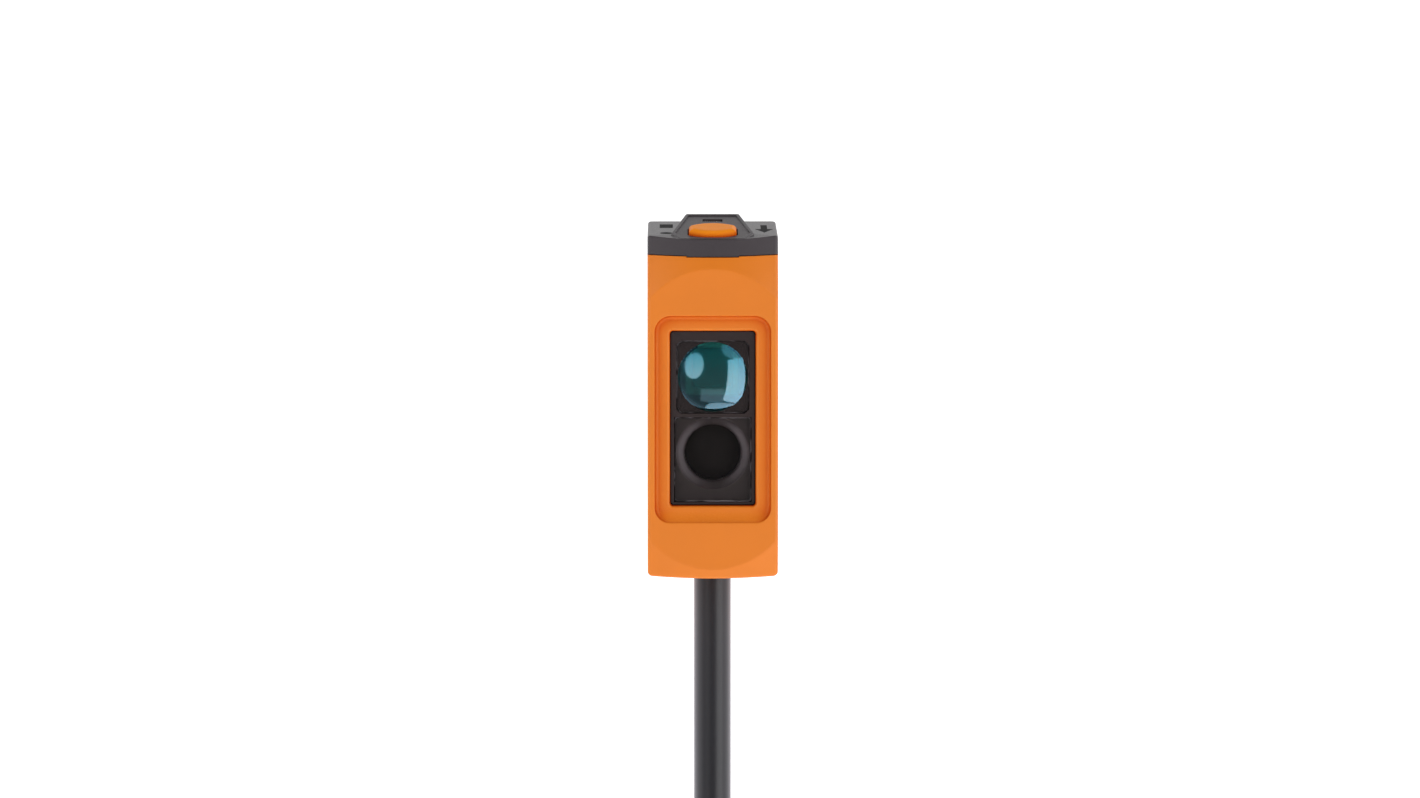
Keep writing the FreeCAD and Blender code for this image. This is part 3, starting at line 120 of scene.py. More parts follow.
class Shader:
    """One procedural material, built from nodes that measure places in millimetres."""

    def __init__(self, name):
        self.material = bpy.data.materials.new(name)
        self.material.use_nodes = True
        self.tree = self.material.node_tree
        self.surface = self.tree.nodes["Principled BSDF"]
        coordinates = self.tree.nodes.new("ShaderNodeTexCoord")
        scale = self.tree.nodes.new("ShaderNodeVectorMath")
        scale.operation = "SCALE"
        scale.inputs["Scale"].default_value = 1 / MM
        self.link(coordinates.outputs["Object"], scale.inputs[0])
        self.place = scale.outputs[0]

    def link(self, source, target):
        self.tree.links.new(source, target)

    def put(self, value, target):
        """Feeds an input with another node's output, or with a plain value."""
        if isinstance(value, bpy.types.NodeSocket):
            self.link(value, target)
        elif isinstance(value, (tuple, list)) and len(value) == 3 and target.type == "RGBA":
            target.default_value = (*value, 1)
        else:
            target.default_value = value

    def set(self, **values):
        """Sets named inputs of the surface; an underscore in a name stands for a space."""
        for name, value in values.items():
            self.put(value, self.surface.inputs[name.replace("_", " ")])
        return self

    def stretched(self, factors):
        """The place, with each axis multiplied by its own factor."""
        node = self.tree.nodes.new("ShaderNodeVectorMath")
        node.operation = "MULTIPLY"
        self.link(self.place, node.inputs[0])
        node.inputs[1].default_value = factors
        return node.outputs[0]

    def noise(self, size, detail=2.0, stretch=None):
        """Soft noise with features of about that size in millimetres."""
        node = self.tree.nodes.new("ShaderNodeTexNoise")
        node.inputs["Scale"].default_value = 1 / size
        node.inputs["Detail"].default_value = detail
        self.link(self.stretched(stretch) if stretch else self.place, node.inputs["Vector"])
        return node.outputs["Fac"]

    def along(self, axis):
        """The place's coordinate along an axis, in millimetres."""
        node = self.tree.nodes.new("ShaderNodeSeparateXYZ")
        self.link(self.place, node.inputs[0])
        return node.outputs["XYZ".index(axis)]

    def math(self, operation, first, second=0.0, third=0.0):
        node = self.tree.nodes.new("ShaderNodeMath")
        node.operation = operation
        for value, target in zip((first, second, third), node.inputs):
            self.put(value, target)
        return node.outputs[0]

    def spread(self, value, low, high, to_low=0.0, to_high=1.0):
        """Maps a value between two limits smoothly onto another pair of limits."""
        node = self.tree.nodes.new("ShaderNodeMapRange")
        node.interpolation_type = "SMOOTHSTEP"
        for name, given in (
            ("Value", value),
            ("From Min", low),
            ("From Max", high),
            ("To Min", to_low),
            ("To Max", to_high),
        ):
            self.put(given, node.inputs[name])
        return node.outputs["Result"]

    def mix(self, share, first, second):
        """Blends two colours, which this node takes at its inputs 6 and 7 and gives at output 2."""
        node = self.tree.nodes.new("ShaderNodeMix")
        node.data_type = "RGBA"
        self.put(share, node.inputs["Factor"])
        self.put(first, node.inputs[6])
        self.put(second, node.inputs[7])
        return node.outputs[2]

    def hemmed(self, reach):
        """How far the surface is hemmed in by its surroundings, within a reach in millimetres."""
        node = self.tree.nodes.new("ShaderNodeAmbientOcclusion")
        node.samples = 8
        node.inputs["Distance"].default_value = reach * MM
        closed = self.math("SUBTRACT", 1.0, node.outputs["AO"])
        return self.math("MULTIPLY", closed, 1 / FULLY_HEMMED)

    def bump(self, height, depth, strength=1.0, rounding=0.0):
        """Raises the surface by a height pattern; depth and edge rounding are in millimetres."""
        node = self.tree.nodes.new("ShaderNodeBump")
        node.inputs["Distance"].default_value = depth * MM
        node.inputs["Strength"].default_value = strength
        self.link(height, node.inputs["Height"])
        if rounding:
            bevel = self.tree.nodes.new("ShaderNodeBevel")
            bevel.samples = 4
            bevel.inputs["Radius"].default_value = rounding * MM
            self.link(bevel.outputs[0], node.inputs["Normal"])
        self.link(node.outputs[0], self.surface.inputs["Normal"])
        return self

    def let_light_through(self, tint):
        """Lets light pass straight to and from what lies behind clear plastic."""
        nodes = self.tree.nodes
        path = nodes.new("ShaderNodeLightPath")
        clear = nodes.new("ShaderNodeBsdfTransparent")
        clear.inputs["Color"].default_value = (*tint, 1)
        choose = nodes.new("ShaderNodeMixShader")
        soft = self.math("MAXIMUM", path.outputs["Is Diffuse Ray"], path.outputs["Is Glossy Ray"])
        passing = self.math("MAXIMUM", path.outputs["Is Shadow Ray"], soft)
        self.link(passing, choose.inputs[0])
        self.link(self.surface.outputs[0], choose.inputs[1])
        self.link(clear.outputs[0], choose.inputs[2])
        self.link(choose.outputs[0], nodes["Material Output"].inputs["Surface"])
        return self


def flow_clouds(shader, colour):
    """Colour of moulded plastic, very faintly clouded by its flow."""
    clouds = shader.noise(4.0, 3.0)
    darker = tuple(channel * 0.985 for channel in colour)
    lighter = tuple(min(1.0, channel * 1.01) for channel in colour)
    return shader.mix(shader.spread(clouds, 0.35, 0.65), darker, lighter)


def grainy(shader, grain, roughness):
    """Roughness that changes a little with the surface's grain."""
    return shader.spread(grain, 0.3, 0.7, roughness - 0.05, roughness + 0.07)


def moulded(name, colour, roughness, grain=0.09, relief=0.004, rounding=0.05, shine=0.5):
    """Injection-moulded plastic: spark-eroded grain, faint flow clouds, softly rounded edges."""
    shader = Shader(name)
    fine = shader.noise(grain, 3.0)
    shader.set(
        Base_Color=flow_clouds(shader, colour),
        Roughness=grainy(shader, fine, roughness),
        Specular_IOR_Level=shine,
    )
    return shader.bump(fine, relief, rounding=rounding)


def orange_plastic(name, colour, roughness, shine, painted_shade_strength):
    """Orange plastic with painted shade: where the surroundings hem it in, its colour is painted a
    deeper, darker orange and its shine is lowered.
    """
    shader = Shader(name)
    fine = shader.noise(0.09, 3.0)
    # Painted shade: the more the surface is hemmed in, the more its colour is darkened and its shine
    # lowered.
    painted_shade_share = shader.math("MINIMUM", shader.math("MULTIPLY", shader.hemmed(2.0), painted_shade_strength), 1.0)
    # deep is the colour of the painted shade, a darker, redder orange.
    deep = (colour[0] * 0.72, colour[1] * 0.27, colour[2] * 0.35)
    shader.set(
        Base_Color=shader.mix(painted_shade_share, flow_clouds(shader, colour), deep),
        Roughness=grainy(shader, fine, roughness),
        Specular_IOR_Level=shader.spread(painted_shade_share, 0.0, 0.6, shine, shine / 4),
    )
    return shader.bump(fine, 0.004, rounding=0.05)


def carrier_plastic(name, colour, cone_highlight_colour):
    """Black moulding; the cone in front of the emitter tube is painted paler as a painted highlight,
    most at its left and right.
    """
    shader = Shader(name)
    middle = (FILTER_LOW + FILTER_HIGH) / 2
    across = shader.math("SUBTRACT", shader.along("X"), middle.x / MM)
    upwards = shader.math("SUBTRACT", shader.along("Z"), middle.z / MM)
    squares = shader.math("ADD", shader.math("POWER", across, 2.0), shader.math("POWER", upwards, 2.0))
    reach = shader.math("SQRT", squares)
    sideways = shader.math("DIVIDE", shader.math("ABSOLUTE", across), reach)
    # ring is a painted highlight on the cone, strongest at its left and right sides, where the lights
    # fall.
    ring = shader.spread(reach, CONE_START, CONE_FULL[0])
    ring = shader.math("MULTIPLY", ring, shader.spread(reach, CONE_FULL[1], CONE_END, 1.0, 0.0))
    ring = shader.math("MULTIPLY", ring, shader.spread(sideways, 0.15, 0.95, 0.22, 1.0))
    cloud = shader.noise(0.5, 3.0)
    shader.set(
        Base_Color=shader.mix(ring, colour, cone_highlight_colour),
        Roughness=shader.spread(cloud, 0.3, 0.7, 0.34, 0.42),
    )
    return shader.bump(cloud, 0.002, rounding=0.05)


def translucent(name, colour, roughness, grain=0.09):
    """Moulded resin that light soaks into."""
    shader = moulded(name, colour, roughness, grain, 0.003)
    shader.set(Subsurface_Weight=0.3, Subsurface_Scale=0.35 * MM)
    shader.surface.inputs["Subsurface Radius"].default_value = (1.0, 0.35, 0.1)
    return shader


def rubber(name, colour, roughness=0.6):
    """Elastomer: dull, with fine speckle and a little bloom."""
    shader = Shader(name)
    speckle = shader.noise(0.12, 4.0)
    bloom = shader.noise(1.5, 3.0)
    pale = tuple(channel * 1.6 + 0.01 for channel in colour)
    shader.set(Base_Color=shader.mix(shader.spread(bloom, 0.4, 0.7), colour, pale))
    shader.set(Roughness=shader.spread(speckle, 0.3, 0.7, roughness - 0.08, roughness + 0.1))
    return shader.bump(speckle, 0.005)


def metal(name, colour, roughness, stretch, relief=0.003):
    """Worked metal: fine lines along the tool's way."""
    shader = Shader(name)
    lines = shader.noise(0.5, 4.0, stretch)
    stain = shader.noise(1.2, 2.0)
    dull = tuple(channel * 0.8 for channel in colour)
    shader.set(
        Base_Color=shader.mix(shader.spread(stain, 0.35, 0.7), colour, dull),
        Metallic=1.0,
        Roughness=shader.spread(lines, 0.3, 0.7, roughness - 0.06, roughness + 0.1),
    )
    return shader.bump(lines, relief)


def clear_plastic(name, tint, roughness, haziness, film=0.0):
    """Clear moulded plastic with faint flow lines and, if wanted, a film some nanometres thick."""
    shader = Shader(name)
    flow = shader.noise(2.5, 1.0)
    haze = shader.noise(0.6, 3.0)
    shader.set(
        Base_Color=shader.mix(flow, tint, tuple(channel ** 1.3 for channel in tint)),
        Roughness=shader.spread(haze, 0.3, 0.8, roughness, roughness + haziness),
        Transmission_Weight=1.0,
        IOR=1.49,
    )
    if film:
        shader.surface.inputs["Thin Film Thickness"].default_value = film
        shader.surface.inputs["Thin Film IOR"].default_value = 1.9
    shader.bump(flow, 0.0008)
    return shader.let_light_through(tint)


def edge_with_painted_glints(name):
    """Edge of a clear plate: a dark rim with pale patches, which are painted glints."""
    shader = Shader(name)
    patches = shader.noise(1.3, 2.0)
    fine = shader.noise(0.2, 2.0)
    dull = (0.045, 0.037, 0.039)
    # Painted glints: pale patches on the dark rim.
    painted_glint = (0.26, 0.24, 0.26)
    shader.set(
        Base_Color=shader.mix(shader.spread(patches, 0.38, 0.60), dull, painted_glint),
        Roughness=shader.spread(fine, 0.3, 0.7, 0.42, 0.55),
    )
    return shader.bump(fine, 0.002)


def laminate(name):
    """Circuit board: green mask over a copper grid, with the woven glass just showing."""
    shader = Shader(name)
    weave = shader.noise(0.3, 2.0)
    lanes = shader.tree.nodes.new("ShaderNodeTexBrick")
    lanes.inputs["Scale"].default_value = 0.6
    lanes.inputs["Mortar Size"].default_value = 0.05
    lanes.inputs["Color1"].default_value = (0.012, 0.16, 0.07, 1)
    lanes.inputs["Color2"].default_value = (0.016, 0.20, 0.085, 1)
    lanes.inputs["Mortar"].default_value = (0.05, 0.30, 0.11, 1)
    turn = shader.tree.nodes.new("ShaderNodeVectorRotate")
    turn.rotation_type = "X_AXIS"
    turn.inputs["Angle"].default_value = math.pi / 2
    shader.link(shader.place, turn.inputs["Vector"])
    shader.link(turn.outputs[0], lanes.inputs["Vector"])
    shader.set(Base_Color=lanes.outputs["Color"])
    shader.set(Roughness=shader.spread(weave, 0.3, 0.7, 0.28, 0.42))
    return shader.bump(weave, 0.004)


def coated_silicon(name):
    """Photodiode chip: teal anti-reflection coat, a pale contact frame and fine lanes."""
    shader = Shader(name)
    lanes = shader.math("PINGPONG", shader.along("X"), 0.09)
    lane_share = shader.spread(lanes, 0.03, 0.05)
    clouds = shader.noise(0.9, 2.0)
    coat = shader.mix(clouds, (0.02, 0.23, 0.24), (0.05, 0.34, 0.34))
    shader.set(
        Base_Color=shader.mix(lane_share, coat, (0.04, 0.27, 0.28)),
        Roughness=shader.spread(clouds, 0.3, 0.7, 0.12, 0.2),
        Metallic=0.35,
        Coat_Weight=0.5,
    )
    return shader.bump(lanes, 0.001)


def cable_sheath(name, colour, roughness, streak=40.0, sheen=0.0):
    """Extruded plastic: long faint draw lines, a dull skin and, if wanted, a dusty sheen."""
    shader = Shader(name)
    draw = shader.noise(0.5, 3.0, (1, 1, 1 / streak))
    skin = shader.noise(0.1, 3.0)
    clouds = shader.noise(5.0, 2.0)
    darker = tuple(channel * 0.85 for channel in colour)
    shader.set(
        Base_Color=shader.mix(shader.spread(clouds, 0.3, 0.7), darker, colour),
        Roughness=shader.spread(skin, 0.3, 0.7, roughness - 0.05, roughness + 0.08),
    )
    height = shader.math("ADD", shader.math("MULTIPLY", draw, 0.7), shader.math("MULTIPLY", skin, 0.3))
    shader.set(Sheen_Weight=sheen, Sheen_Roughness=0.45, Sheen_Tint=(0.92, 0.90, 1.0))
    return shader.bump(height, 0.002)


# ---- mesh building -------------------------------------------------------------------------------


def finish_mesh(name, points, faces, sharp_degrees=35.0):
    """New mesh object with smooth faces and edges kept sharp past an angle."""
    mesh = bpy.data.meshes.new(name)
    mesh.from_pydata([tuple(point) for point in points], [], faces)
    mesh.validate()
    mesh.shade_smooth()
    mesh.set_sharp_from_angle(angle=math.radians(sharp_degrees))
    piece = bpy.data.objects.new(name, mesh)
    bpy.context.scene.collection.objects.link(piece)
    return piece


def loft(name, rings, closed=False, sharp_degrees=35.0):
    """Body through rings of equally many points; its ends are fanned, or joined if closed."""
    count = len(rings[0])
    points = [point for ring in rings for point in ring]
    faces = []
    pairs = len(rings) if closed else len(rings) - 1
    for index in range(pairs):
        here = index * count
        there = (index + 1) % len(rings) * count
        for step in range(count):
            after = (step + 1) % count
            faces.append((here + step, here + after, there + after, there + step))
    if not closed:
        for ring_index, flip in ((0, True), (len(rings) - 1, False)):
            centre = sum((Vector(point) for point in rings[ring_index]), Vector()) / count
            points.append(centre)
            start = ring_index * count
            for step in range(count):
                after = (step + 1) % count
                face = (start + step, start + after, len(points) - 1)
                faces.append(face[::-1] if flip else face)
    return finish_mesh(name, points, faces, sharp_degrees)


def face_outwards(piece):
    """Turns a closed piece's faces to point outwards."""
    shape = bmesh.new()
    shape.from_mesh(piece.data)
    bmesh.ops.recalc_face_normals(shape, faces=shape.faces)
    shape.to_mesh(piece.data)
    shape.free()
    return piece


def steps_between(start, end, count):
    """Evenly spaced values from start to end."""
    return [start + (end - start) * index / count for index in range(count + 1)]


def upright_ring(centre, radius, height, count=96):
    """Level ring round a vertical axis."""
    angles = [TURN * index / count for index in range(count)]
    return [
        Vector((centre.x + radius * math.cos(a), centre.y + radius * math.sin(a), height))
        for a in angles
    ]


def facing_ring(centre, radius_at, depth, count=160):
    """Ring in a plane across the depth; its radius may change with the angle."""
    angles = [TURN * index / count for index in range(count)]
    return [
        Vector((
            centre.x + radius_at(a) * math.cos(a),
            depth,
            centre.z + radius_at(a) * math.sin(a),
        ))
        for a in angles
    ]


def plate_radius(half_width, half_height, chamfer):
    """Distance from the middle of a chamfered rectangle to its outline, by angle."""

    def radius_at(angle):
        across = abs(math.cos(angle))
        along = abs(math.sin(angle))
        reaches = [(half_width + half_height - chamfer) / (across + along)]
        if across > NEARLY_ZERO:
            reaches.append(half_width / across)
        if along > NEARLY_ZERO:
            reaches.append(half_height / along)
        return min(reaches)

    return radius_at


def trimmed(radius_at, trim):
    """Outline drawn in by a trim."""
    return lambda angle: radius_at(angle) - trim


# ---- receiver lens, window and filter ------------------------------------------------------------


def dome_rings(centre, radius, bulge, face, towards, count):
    """Rings of a spherical dome from its rim to near its crown."""
    sphere = (radius ** 2 + bulge ** 2) / (2 * bulge)
    rings = []
    for index in range(count):
        share = math.cos(index / count * TURN / 4)
        reach = radius * share
        rise = math.sqrt(sphere ** 2 - reach ** 2) - (sphere - bulge)
        rings.append(facing_ring(centre, lambda _, reach=reach: reach, face + towards * rise))
    return rings


def plate_rings(centre, outline, front, back):
    """Rings of a plate with a fine bevel round its front and its back."""
    return [
        facing_ring(centre, trimmed(outline, PLATE_EDGE), front),
        facing_ring(centre, outline, front + PLATE_EDGE),
        facing_ring(centre, outline, back - PLATE_EDGE),
        facing_ring(centre, trimmed(outline, PLATE_EDGE), back),
    ]


def receiver_lens():
    """Lens: a chamfered plate between its front dome and a flatter dome behind."""
    centre = (LENS_LOW + LENS_HIGH) / 2
    half = (LENS_HIGH.x - LENS_LOW.x) / 2
    plate_front = LENS_LOW.y + LENS_BULGE
    plate_back = LENS_HIGH.y - LENS_REAR_BULGE
    front = dome_rings(centre, LENS_RADIUS, LENS_BULGE, plate_front, -1, 28)[::-1]
    foot = facing_ring(centre, lambda _: LENS_RADIUS + LENS_FOOT, plate_front + LENS_STEP)
    plate = plate_rings(centre, plate_radius(half, half, LENS_CORNER), plate_front, plate_back)
    rear = dome_rings(centre, LENS_REAR_RADIUS, LENS_REAR_BULGE, plate_back, 1, 20)
    piece = loft("receiver_lens_body", front + [foot] + plate + rear, sharp_degrees=30.0)
    return face_outwards(piece)


def leave_plate_plain(lens):
    """Gives the second finish to all faces of the lens outside its two domes."""
    centre = (LENS_LOW + LENS_HIGH) / 2
    for face in lens.data.polygons:
        offset = face.center - centre
        reach = math.hypot(offset.x, offset.z)
        face.material_index = int(reach > LENS_RADIUS)


def finish_plate_edges(plate, index, inner):
    """Gives the bevels and sides of a plate their own finish, from a given distance outwards."""
    centre = (Vector(plate.bound_box[0]) + Vector(plate.bound_box[6])) / 2
    for face in plate.data.polygons:
        offset = face.center - centre
        slanted = abs(face.normal.y) < FACES_FRONT
        if slanted and math.hypot(offset.x, offset.z) > inner:
            face.material_index = index


def emitter_window():
    """Flat pane with a fine bevel all round."""
    centre = (WINDOW_LOW + WINDOW_HIGH) / 2
    half_width = (WINDOW_HIGH.x - WINDOW_LOW.x) / 2
    half_height = (WINDOW_HIGH.z - WINDOW_LOW.z) / 2
    outline = plate_radius(half_width, half_height, WINDOW_CORNER)
    rings = plate_rings(centre, outline, WINDOW_LOW.y, WINDOW_HIGH.y)
    return face_outwards(loft("emitter_window_pane", rings, sharp_degrees=25.0))


def emitter_filter():
    """Dark filter lens deep in the emitter tube."""
    centre = (FILTER_LOW + FILTER_HIGH) / 2
    front = dome_rings(centre, FILTER_RADIUS, FILTER_BULGE, FILTER_LOW.y + FILTER_BULGE, -1, 20)[::-1]
    back = [
        facing_ring(centre, lambda _: FILTER_RADIUS, FILTER_HIGH.y - FILTER_EDGE),
        facing_ring(centre, lambda _: FILTER_RADIUS - FILTER_EDGE, FILTER_HIGH.y),
    ]
    return face_outwards(loft("emitter_filter_lens", front + back, sharp_degrees=40.0))


# ---- cable ---------------------------------------------------------------------------------------


def cable_jacket():
    """Jacket tube with a cleanly cut, slightly rolled end."""
    axis = (JACKET_LOW + JACKET_HIGH) / 2
    radius = JACKET_HIGH.x
    low = JACKET_LOW.z
    neck = HOUSING_LOW.z + JACKET_NECK
    corner = JACKET_EDGE * JACKET_ROUNDING
    profile = [
        (JACKET_INNER + JACKET_EDGE / 2, low),
        (radius - JACKET_EDGE, low),
        (radius - corner, low + corner),
        (radius, low + JACKET_EDGE),
    ]
    straight = steps_between(low + JACKET_CUT, neck - JACKET_NECKING, 24)
    profile += [(radius, height) for height in straight]
    profile += [
        (JACKET_SQUEEZED, neck),
        (JACKET_SQUEEZED, JACKET_HIGH.z),
        (JACKET_INNER, JACKET_HIGH.z),
        (JACKET_INNER, low + JACKET_EDGE / 2),
    ]
    rings = [upright_ring(axis, reach, height) for reach, height in profile]
    return face_outwards(loft("cable_sheath", rings, closed=True, sharp_degrees=50.0))


# ---- button seal and snap dome -------------------------------------------------------------------


def turned(name, axis, profile, sharp_degrees=35.0):
    """Turned piece through (radius, height) points that start and end near the axis."""
    rings = [upright_ring(axis, radius, height) for radius, height in profile]
    return face_outwards(loft(name, rings, sharp_degrees=sharp_degrees))


def button_seal():
    """Silicone seal: a clamped flange, a thin soft cone and a thick crown under the stem."""
    axis = (SEAL_LOW + SEAL_HIGH) / 2
    radius = SEAL_HIGH.x
    tall = SEAL_HIGH.z - SEAL_LOW.z
    crown = [(0.02, 1.0), (0.38, 1.0), (0.47, 0.985), (0.53, 0.93)]
    cone = [(0.62, 0.83), (0.72, 0.71), (0.79, 0.61), (0.82, 0.52), (0.825, 0.36), (0.84, 0.29)]
    flange = [(0.87, 0.275), (0.98, 0.275), (1.0, 0.25), (1.0, 0.0), (0.75, 0.0)]
    inner_cone = [(0.745, 0.48), (0.72, 0.55), (0.63, 0.68), (0.52, 0.78), (0.42, 0.83)]
    inner_crown = [(0.30, 0.84), (0.02, 0.84)]
    shares = crown + cone + flange + inner_cone + inner_crown
    profile = [(radius * across, SEAL_LOW.z + tall * up) for across, up in shares]
    piece = turned("button_seal_cone", axis, profile, 60.0)
    start = Vector((axis.x, axis.y, SEAL_LOW.z + SEAL_FLANGE_SHARE * tall))
    end = Vector((axis.x, axis.y, SEAL_LOW.z + SEAL_CROWN_SHARE * tall))
    return piece, start, end


def snap_dome():
    """Thin steel dome with a dimple in its crown."""
    axis = (DOME_LOW + DOME_HIGH) / 2
    radius = DOME_HIGH.x
    rise = DOME_HIGH.z - DOME_LOW.z
    sheet = DOME_SHEET_SHARE * rise
    over = []
    under = []
    for share in steps_between(0.0, 1.0, 24):
        dimple = DIMPLE_DEPTH * sheet * math.exp(-(share / DIMPLE_REACH) ** 2)
        height = DOME_HIGH.z - (rise - sheet) * share ** 2 - dimple
        across = max(share, DOME_PINHOLE) * radius
        over.append((across, height))
        under.append((across, height - sheet))
    piece = turned("snap_dome_sheet", axis, over + under[::-1], 50.0)
    start = Vector((axis.x, axis.y, DOME_LOW.z))
    end = Vector((axis.x, axis.y, DOME_HIGH.z))
    return piece, start, end


def bend_between(parts, shader, node):
    """Finishes a piece, bakes its place into its mesh and lets it stand for a CAD node."""
    piece, start, end = parts
    piece.data.materials.append(shader.material)
    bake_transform(piece)
    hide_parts(node)


# ---- pieces on the cap ---------------------------------------------------------------------------


def cap_surface():
    """Looks up the cap's upper surface under a point."""
    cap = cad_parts["top_cap"]
    tree = BVHTree.FromObject(cap, bpy.context.evaluated_depsgraph_get())
    above = 2 * CAP_HIGH.z

    def height_at(x, y):
        return tree.ray_cast(Vector((x, y, above)), Vector((0, 0, -1)))[0].z

    return height_at


def printed_mark(name, outline, height_at):
    """Thin printed mark that follows the cap's top."""
    centre = sum((Vector((x, y, 0)) for x, y in outline), Vector()) / len(outline)
    rings = []
    for share in (0.35, 0.7, 1.0):
        ring = []
        for x, y in outline:
            point = centre.lerp(Vector((x, y, 0)), share)
            point.z = height_at(point.x, point.y) + INK_THICKNESS
            ring.append(point)
        rings.append(ring)
    rings.append([point - Vector((0, 0, 2 * INK_THICKNESS)) for point in rings[-1]])
    return face_outwards(loft(name, rings, sharp_degrees=30.0))


def dense_outline(corners, steps=6):
    """Outline with extra points along each side."""
    points = []
    for index, (x, y) in enumerate(corners):
        next_x, next_y = corners[(index + 1) % len(corners)]
        for step in range(steps):
            share = step / steps
            points.append((x + (next_x - x) * share, y + (next_y - y) * share))
    return points


def oblong(x, half_width, start, end):
    """Outline of an oblong on the cap, between two distances behind the front.

    In all three outlines x is in metres, and the sizes and distances are in millimetres.
    """
    left, right = x - half_width * MM, x + half_width * MM
    front, back = FRONT + start * MM, FRONT + end * MM
    return dense_outline([(left, front), (right, front), (right, back), (left, back)])


def oval(x, half_width, half_depth, middle, count=40):
    """Outline of a round spot on the cap, at a distance behind the front."""
    wide, deep = half_width * MM, half_depth * MM
    y = FRONT + middle * MM
    angles = [TURN * index / count for index in range(count)]
    return [(x + wide * math.cos(a), y + deep * math.sin(a)) for a in angles]


def arrowhead(x, half_width, tip, base):
    """Outline of an arrowhead that points to the front, with its tip and base behind it."""
    half = half_width * MM
    corners = [(x, FRONT + tip * MM), (x + half, FRONT + base * MM), (x - half, FRONT + base * MM)]
    return dense_outline(corners, 10)


def cap_marks():
    """Generic setting marks: a bar and a dot on the left, an arrow on the right."""
    outlines = {
        "mark_bar": oblong(LEFT_MARKS, 0.66, 12.4, 17.2),
        "mark_dot": oval(LEFT_MARKS, 0.6, 1.1, 5.2),
        "mark_arrow": arrowhead(RIGHT_MARKS, 0.9, 6.0, 10.6),
        "mark_shaft": oblong(RIGHT_MARKS, 0.32, 10.6, 16.0),
    }
    height_at = cap_surface()
    return [printed_mark(name, outline, height_at) for name, outline in outlines.items()]


# ---- materials for every node --------------------------------------------------------------------


def paint(names, shader):
    """Gives CAD nodes their finish."""
    for name in names:
        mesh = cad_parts[name].data
        mesh.materials.clear()
        mesh.materials.append(shader.material)


def dress(piece, shader, node):
    """Finishes a new piece, fixes it to the case and lets it stand for a CAD node."""
    piece.data.materials.append(shader.material)
    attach(piece, CASE)
    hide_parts(node)


ORANGE = (0.700, 0.178, 0.002)
# Button orange: painted lighter than the housing's orange, standing in for light on the button's top.
BUTTON_ORANGE_PAINTED_LIGHTER = (0.98, 0.295, 0.010)
BLACK_PLASTIC = (0.027, 0.0165, 0.0165)
# Pale colour of the painted highlight on the emitter's cone.
PAINTED_CONE_HIGHLIGHT = (0.15, 0.13, 0.14)
DARK_GREY = (0.054, 0.0445, 0.050)


def paint_shells():
    # The last number given to each orange plastic is the strength of its painted shade.
    paint(["housing"], orange_plastic("orange_housing", ORANGE, 0.42, 0.5, 1.0))
    paint(["top_cap"], moulded("grey_cap", DARK_GREY, 0.42, relief=0.005, shine=0.45))
    paint(["set_button"], orange_plastic("orange_button", BUTTON_ORANGE_PAINTED_LIGHTER, 0.40, 0.12, 0.5))
    paint(["optics_carrier"], carrier_plastic("black_carrier", BLACK_PLASTIC, PAINTED_CONE_HIGHLIGHT))
    paint(["switch_body", "pin_header"], moulded("black_parts", (0.02, 0.02, 0.02), 0.5))
    paint(["switch_plunger"], moulded("ivory_plunger", (0.60, 0.56, 0.46), 0.4))


def paint_soft_parts():
    paint(["cap_gasket", "cable_seal"], rubber("black_rubber", (0.015, 0.015, 0.015)))
    paint(["lens_gasket"], rubber("black_foam", (0.02, 0.02, 0.022), 0.8))


def paint_metals():
    paint(["mounting_sleeves"], metal("turned_sleeves", (0.62, 0.60, 0.57), 0.28, (12, 1, 1)))
    paint(["receiver_shield"], metal("tinned_shield", (0.66, 0.66, 0.64), 0.3, (1, 1, 8)))
    paint(["board_pins"], metal("gold_pins", (0.85, 0.60, 0.22), 0.22, (1, 8, 1)))
    paint(["cable_clamp_ring"], metal("nickel_ring", (0.62, 0.57, 0.48), 0.3, (1, 1, 8)))
    paint(["solder_joints"], metal("solder", (0.66, 0.66, 0.67), 0.22, (1, 1, 1), 0.01))


def paint_electronics():
    paint(["switch_board", "optics_board", "main_board"], laminate("board_laminate"))
    packages = ["controller_chip", "output_driver", "surge_diode"]
    paint(packages, moulded("package_resin", (0.022, 0.022, 0.024), 0.55, grain=0.05))
    paint(["buffer_capacitor"], moulded("tantalum_resin", (0.70, 0.42, 0.05), 0.4))
    paint(["small_capacitors"], moulded("tan_ceramic", (0.36, 0.23, 0.13), 0.45, grain=0.05))
    paint(["small_resistors"], moulded("black_glaze", (0.03, 0.03, 0.035), 0.25, grain=0.05))
    paint(["photodiode_base"], moulded("white_ceramic", (0.55, 0.54, 0.50), 0.5, grain=0.05))
    paint(["photodiode_die"], coated_silicon("coated_silicon"))
    paint(["emitter_led"], translucent("emitter_resin", (0.62, 0.16, 0.12), 0.2))
    paint(["indicator_led"], translucent("lamp_phosphor", (0.80, 0.70, 0.30), 0.3))
    paint(["flex_link"], moulded("amber_film", (0.50, 0.19, 0.03), 0.25, relief=0.001))
    paint(["light_guide"], clear_plastic("smoky_guide", (0.72, 0.70, 0.68), 0.08, 0.1))


def paint_cores():
    colours = {
        "core_brown": (0.10, 0.035, 0.014),
        "core_white": (0.72, 0.72, 0.70),
        "core_blue": (0.012, 0.065, 0.30),
        "core_black": (0.012, 0.012, 0.012),
    }
    for node, colour in colours.items():
        paint([node], cable_sheath(node + "_pvc", colour, 0.35, 10.0))
    paint(["conductors"], metal("tinned_copper", (0.80, 0.52, 0.36), 0.3, (4, 4, 1)))


# ---- studio --------------------------------------------------------------------------------------

FLOOR_REACH = 6.0
FLOOR_GAP = 0.2 * MM


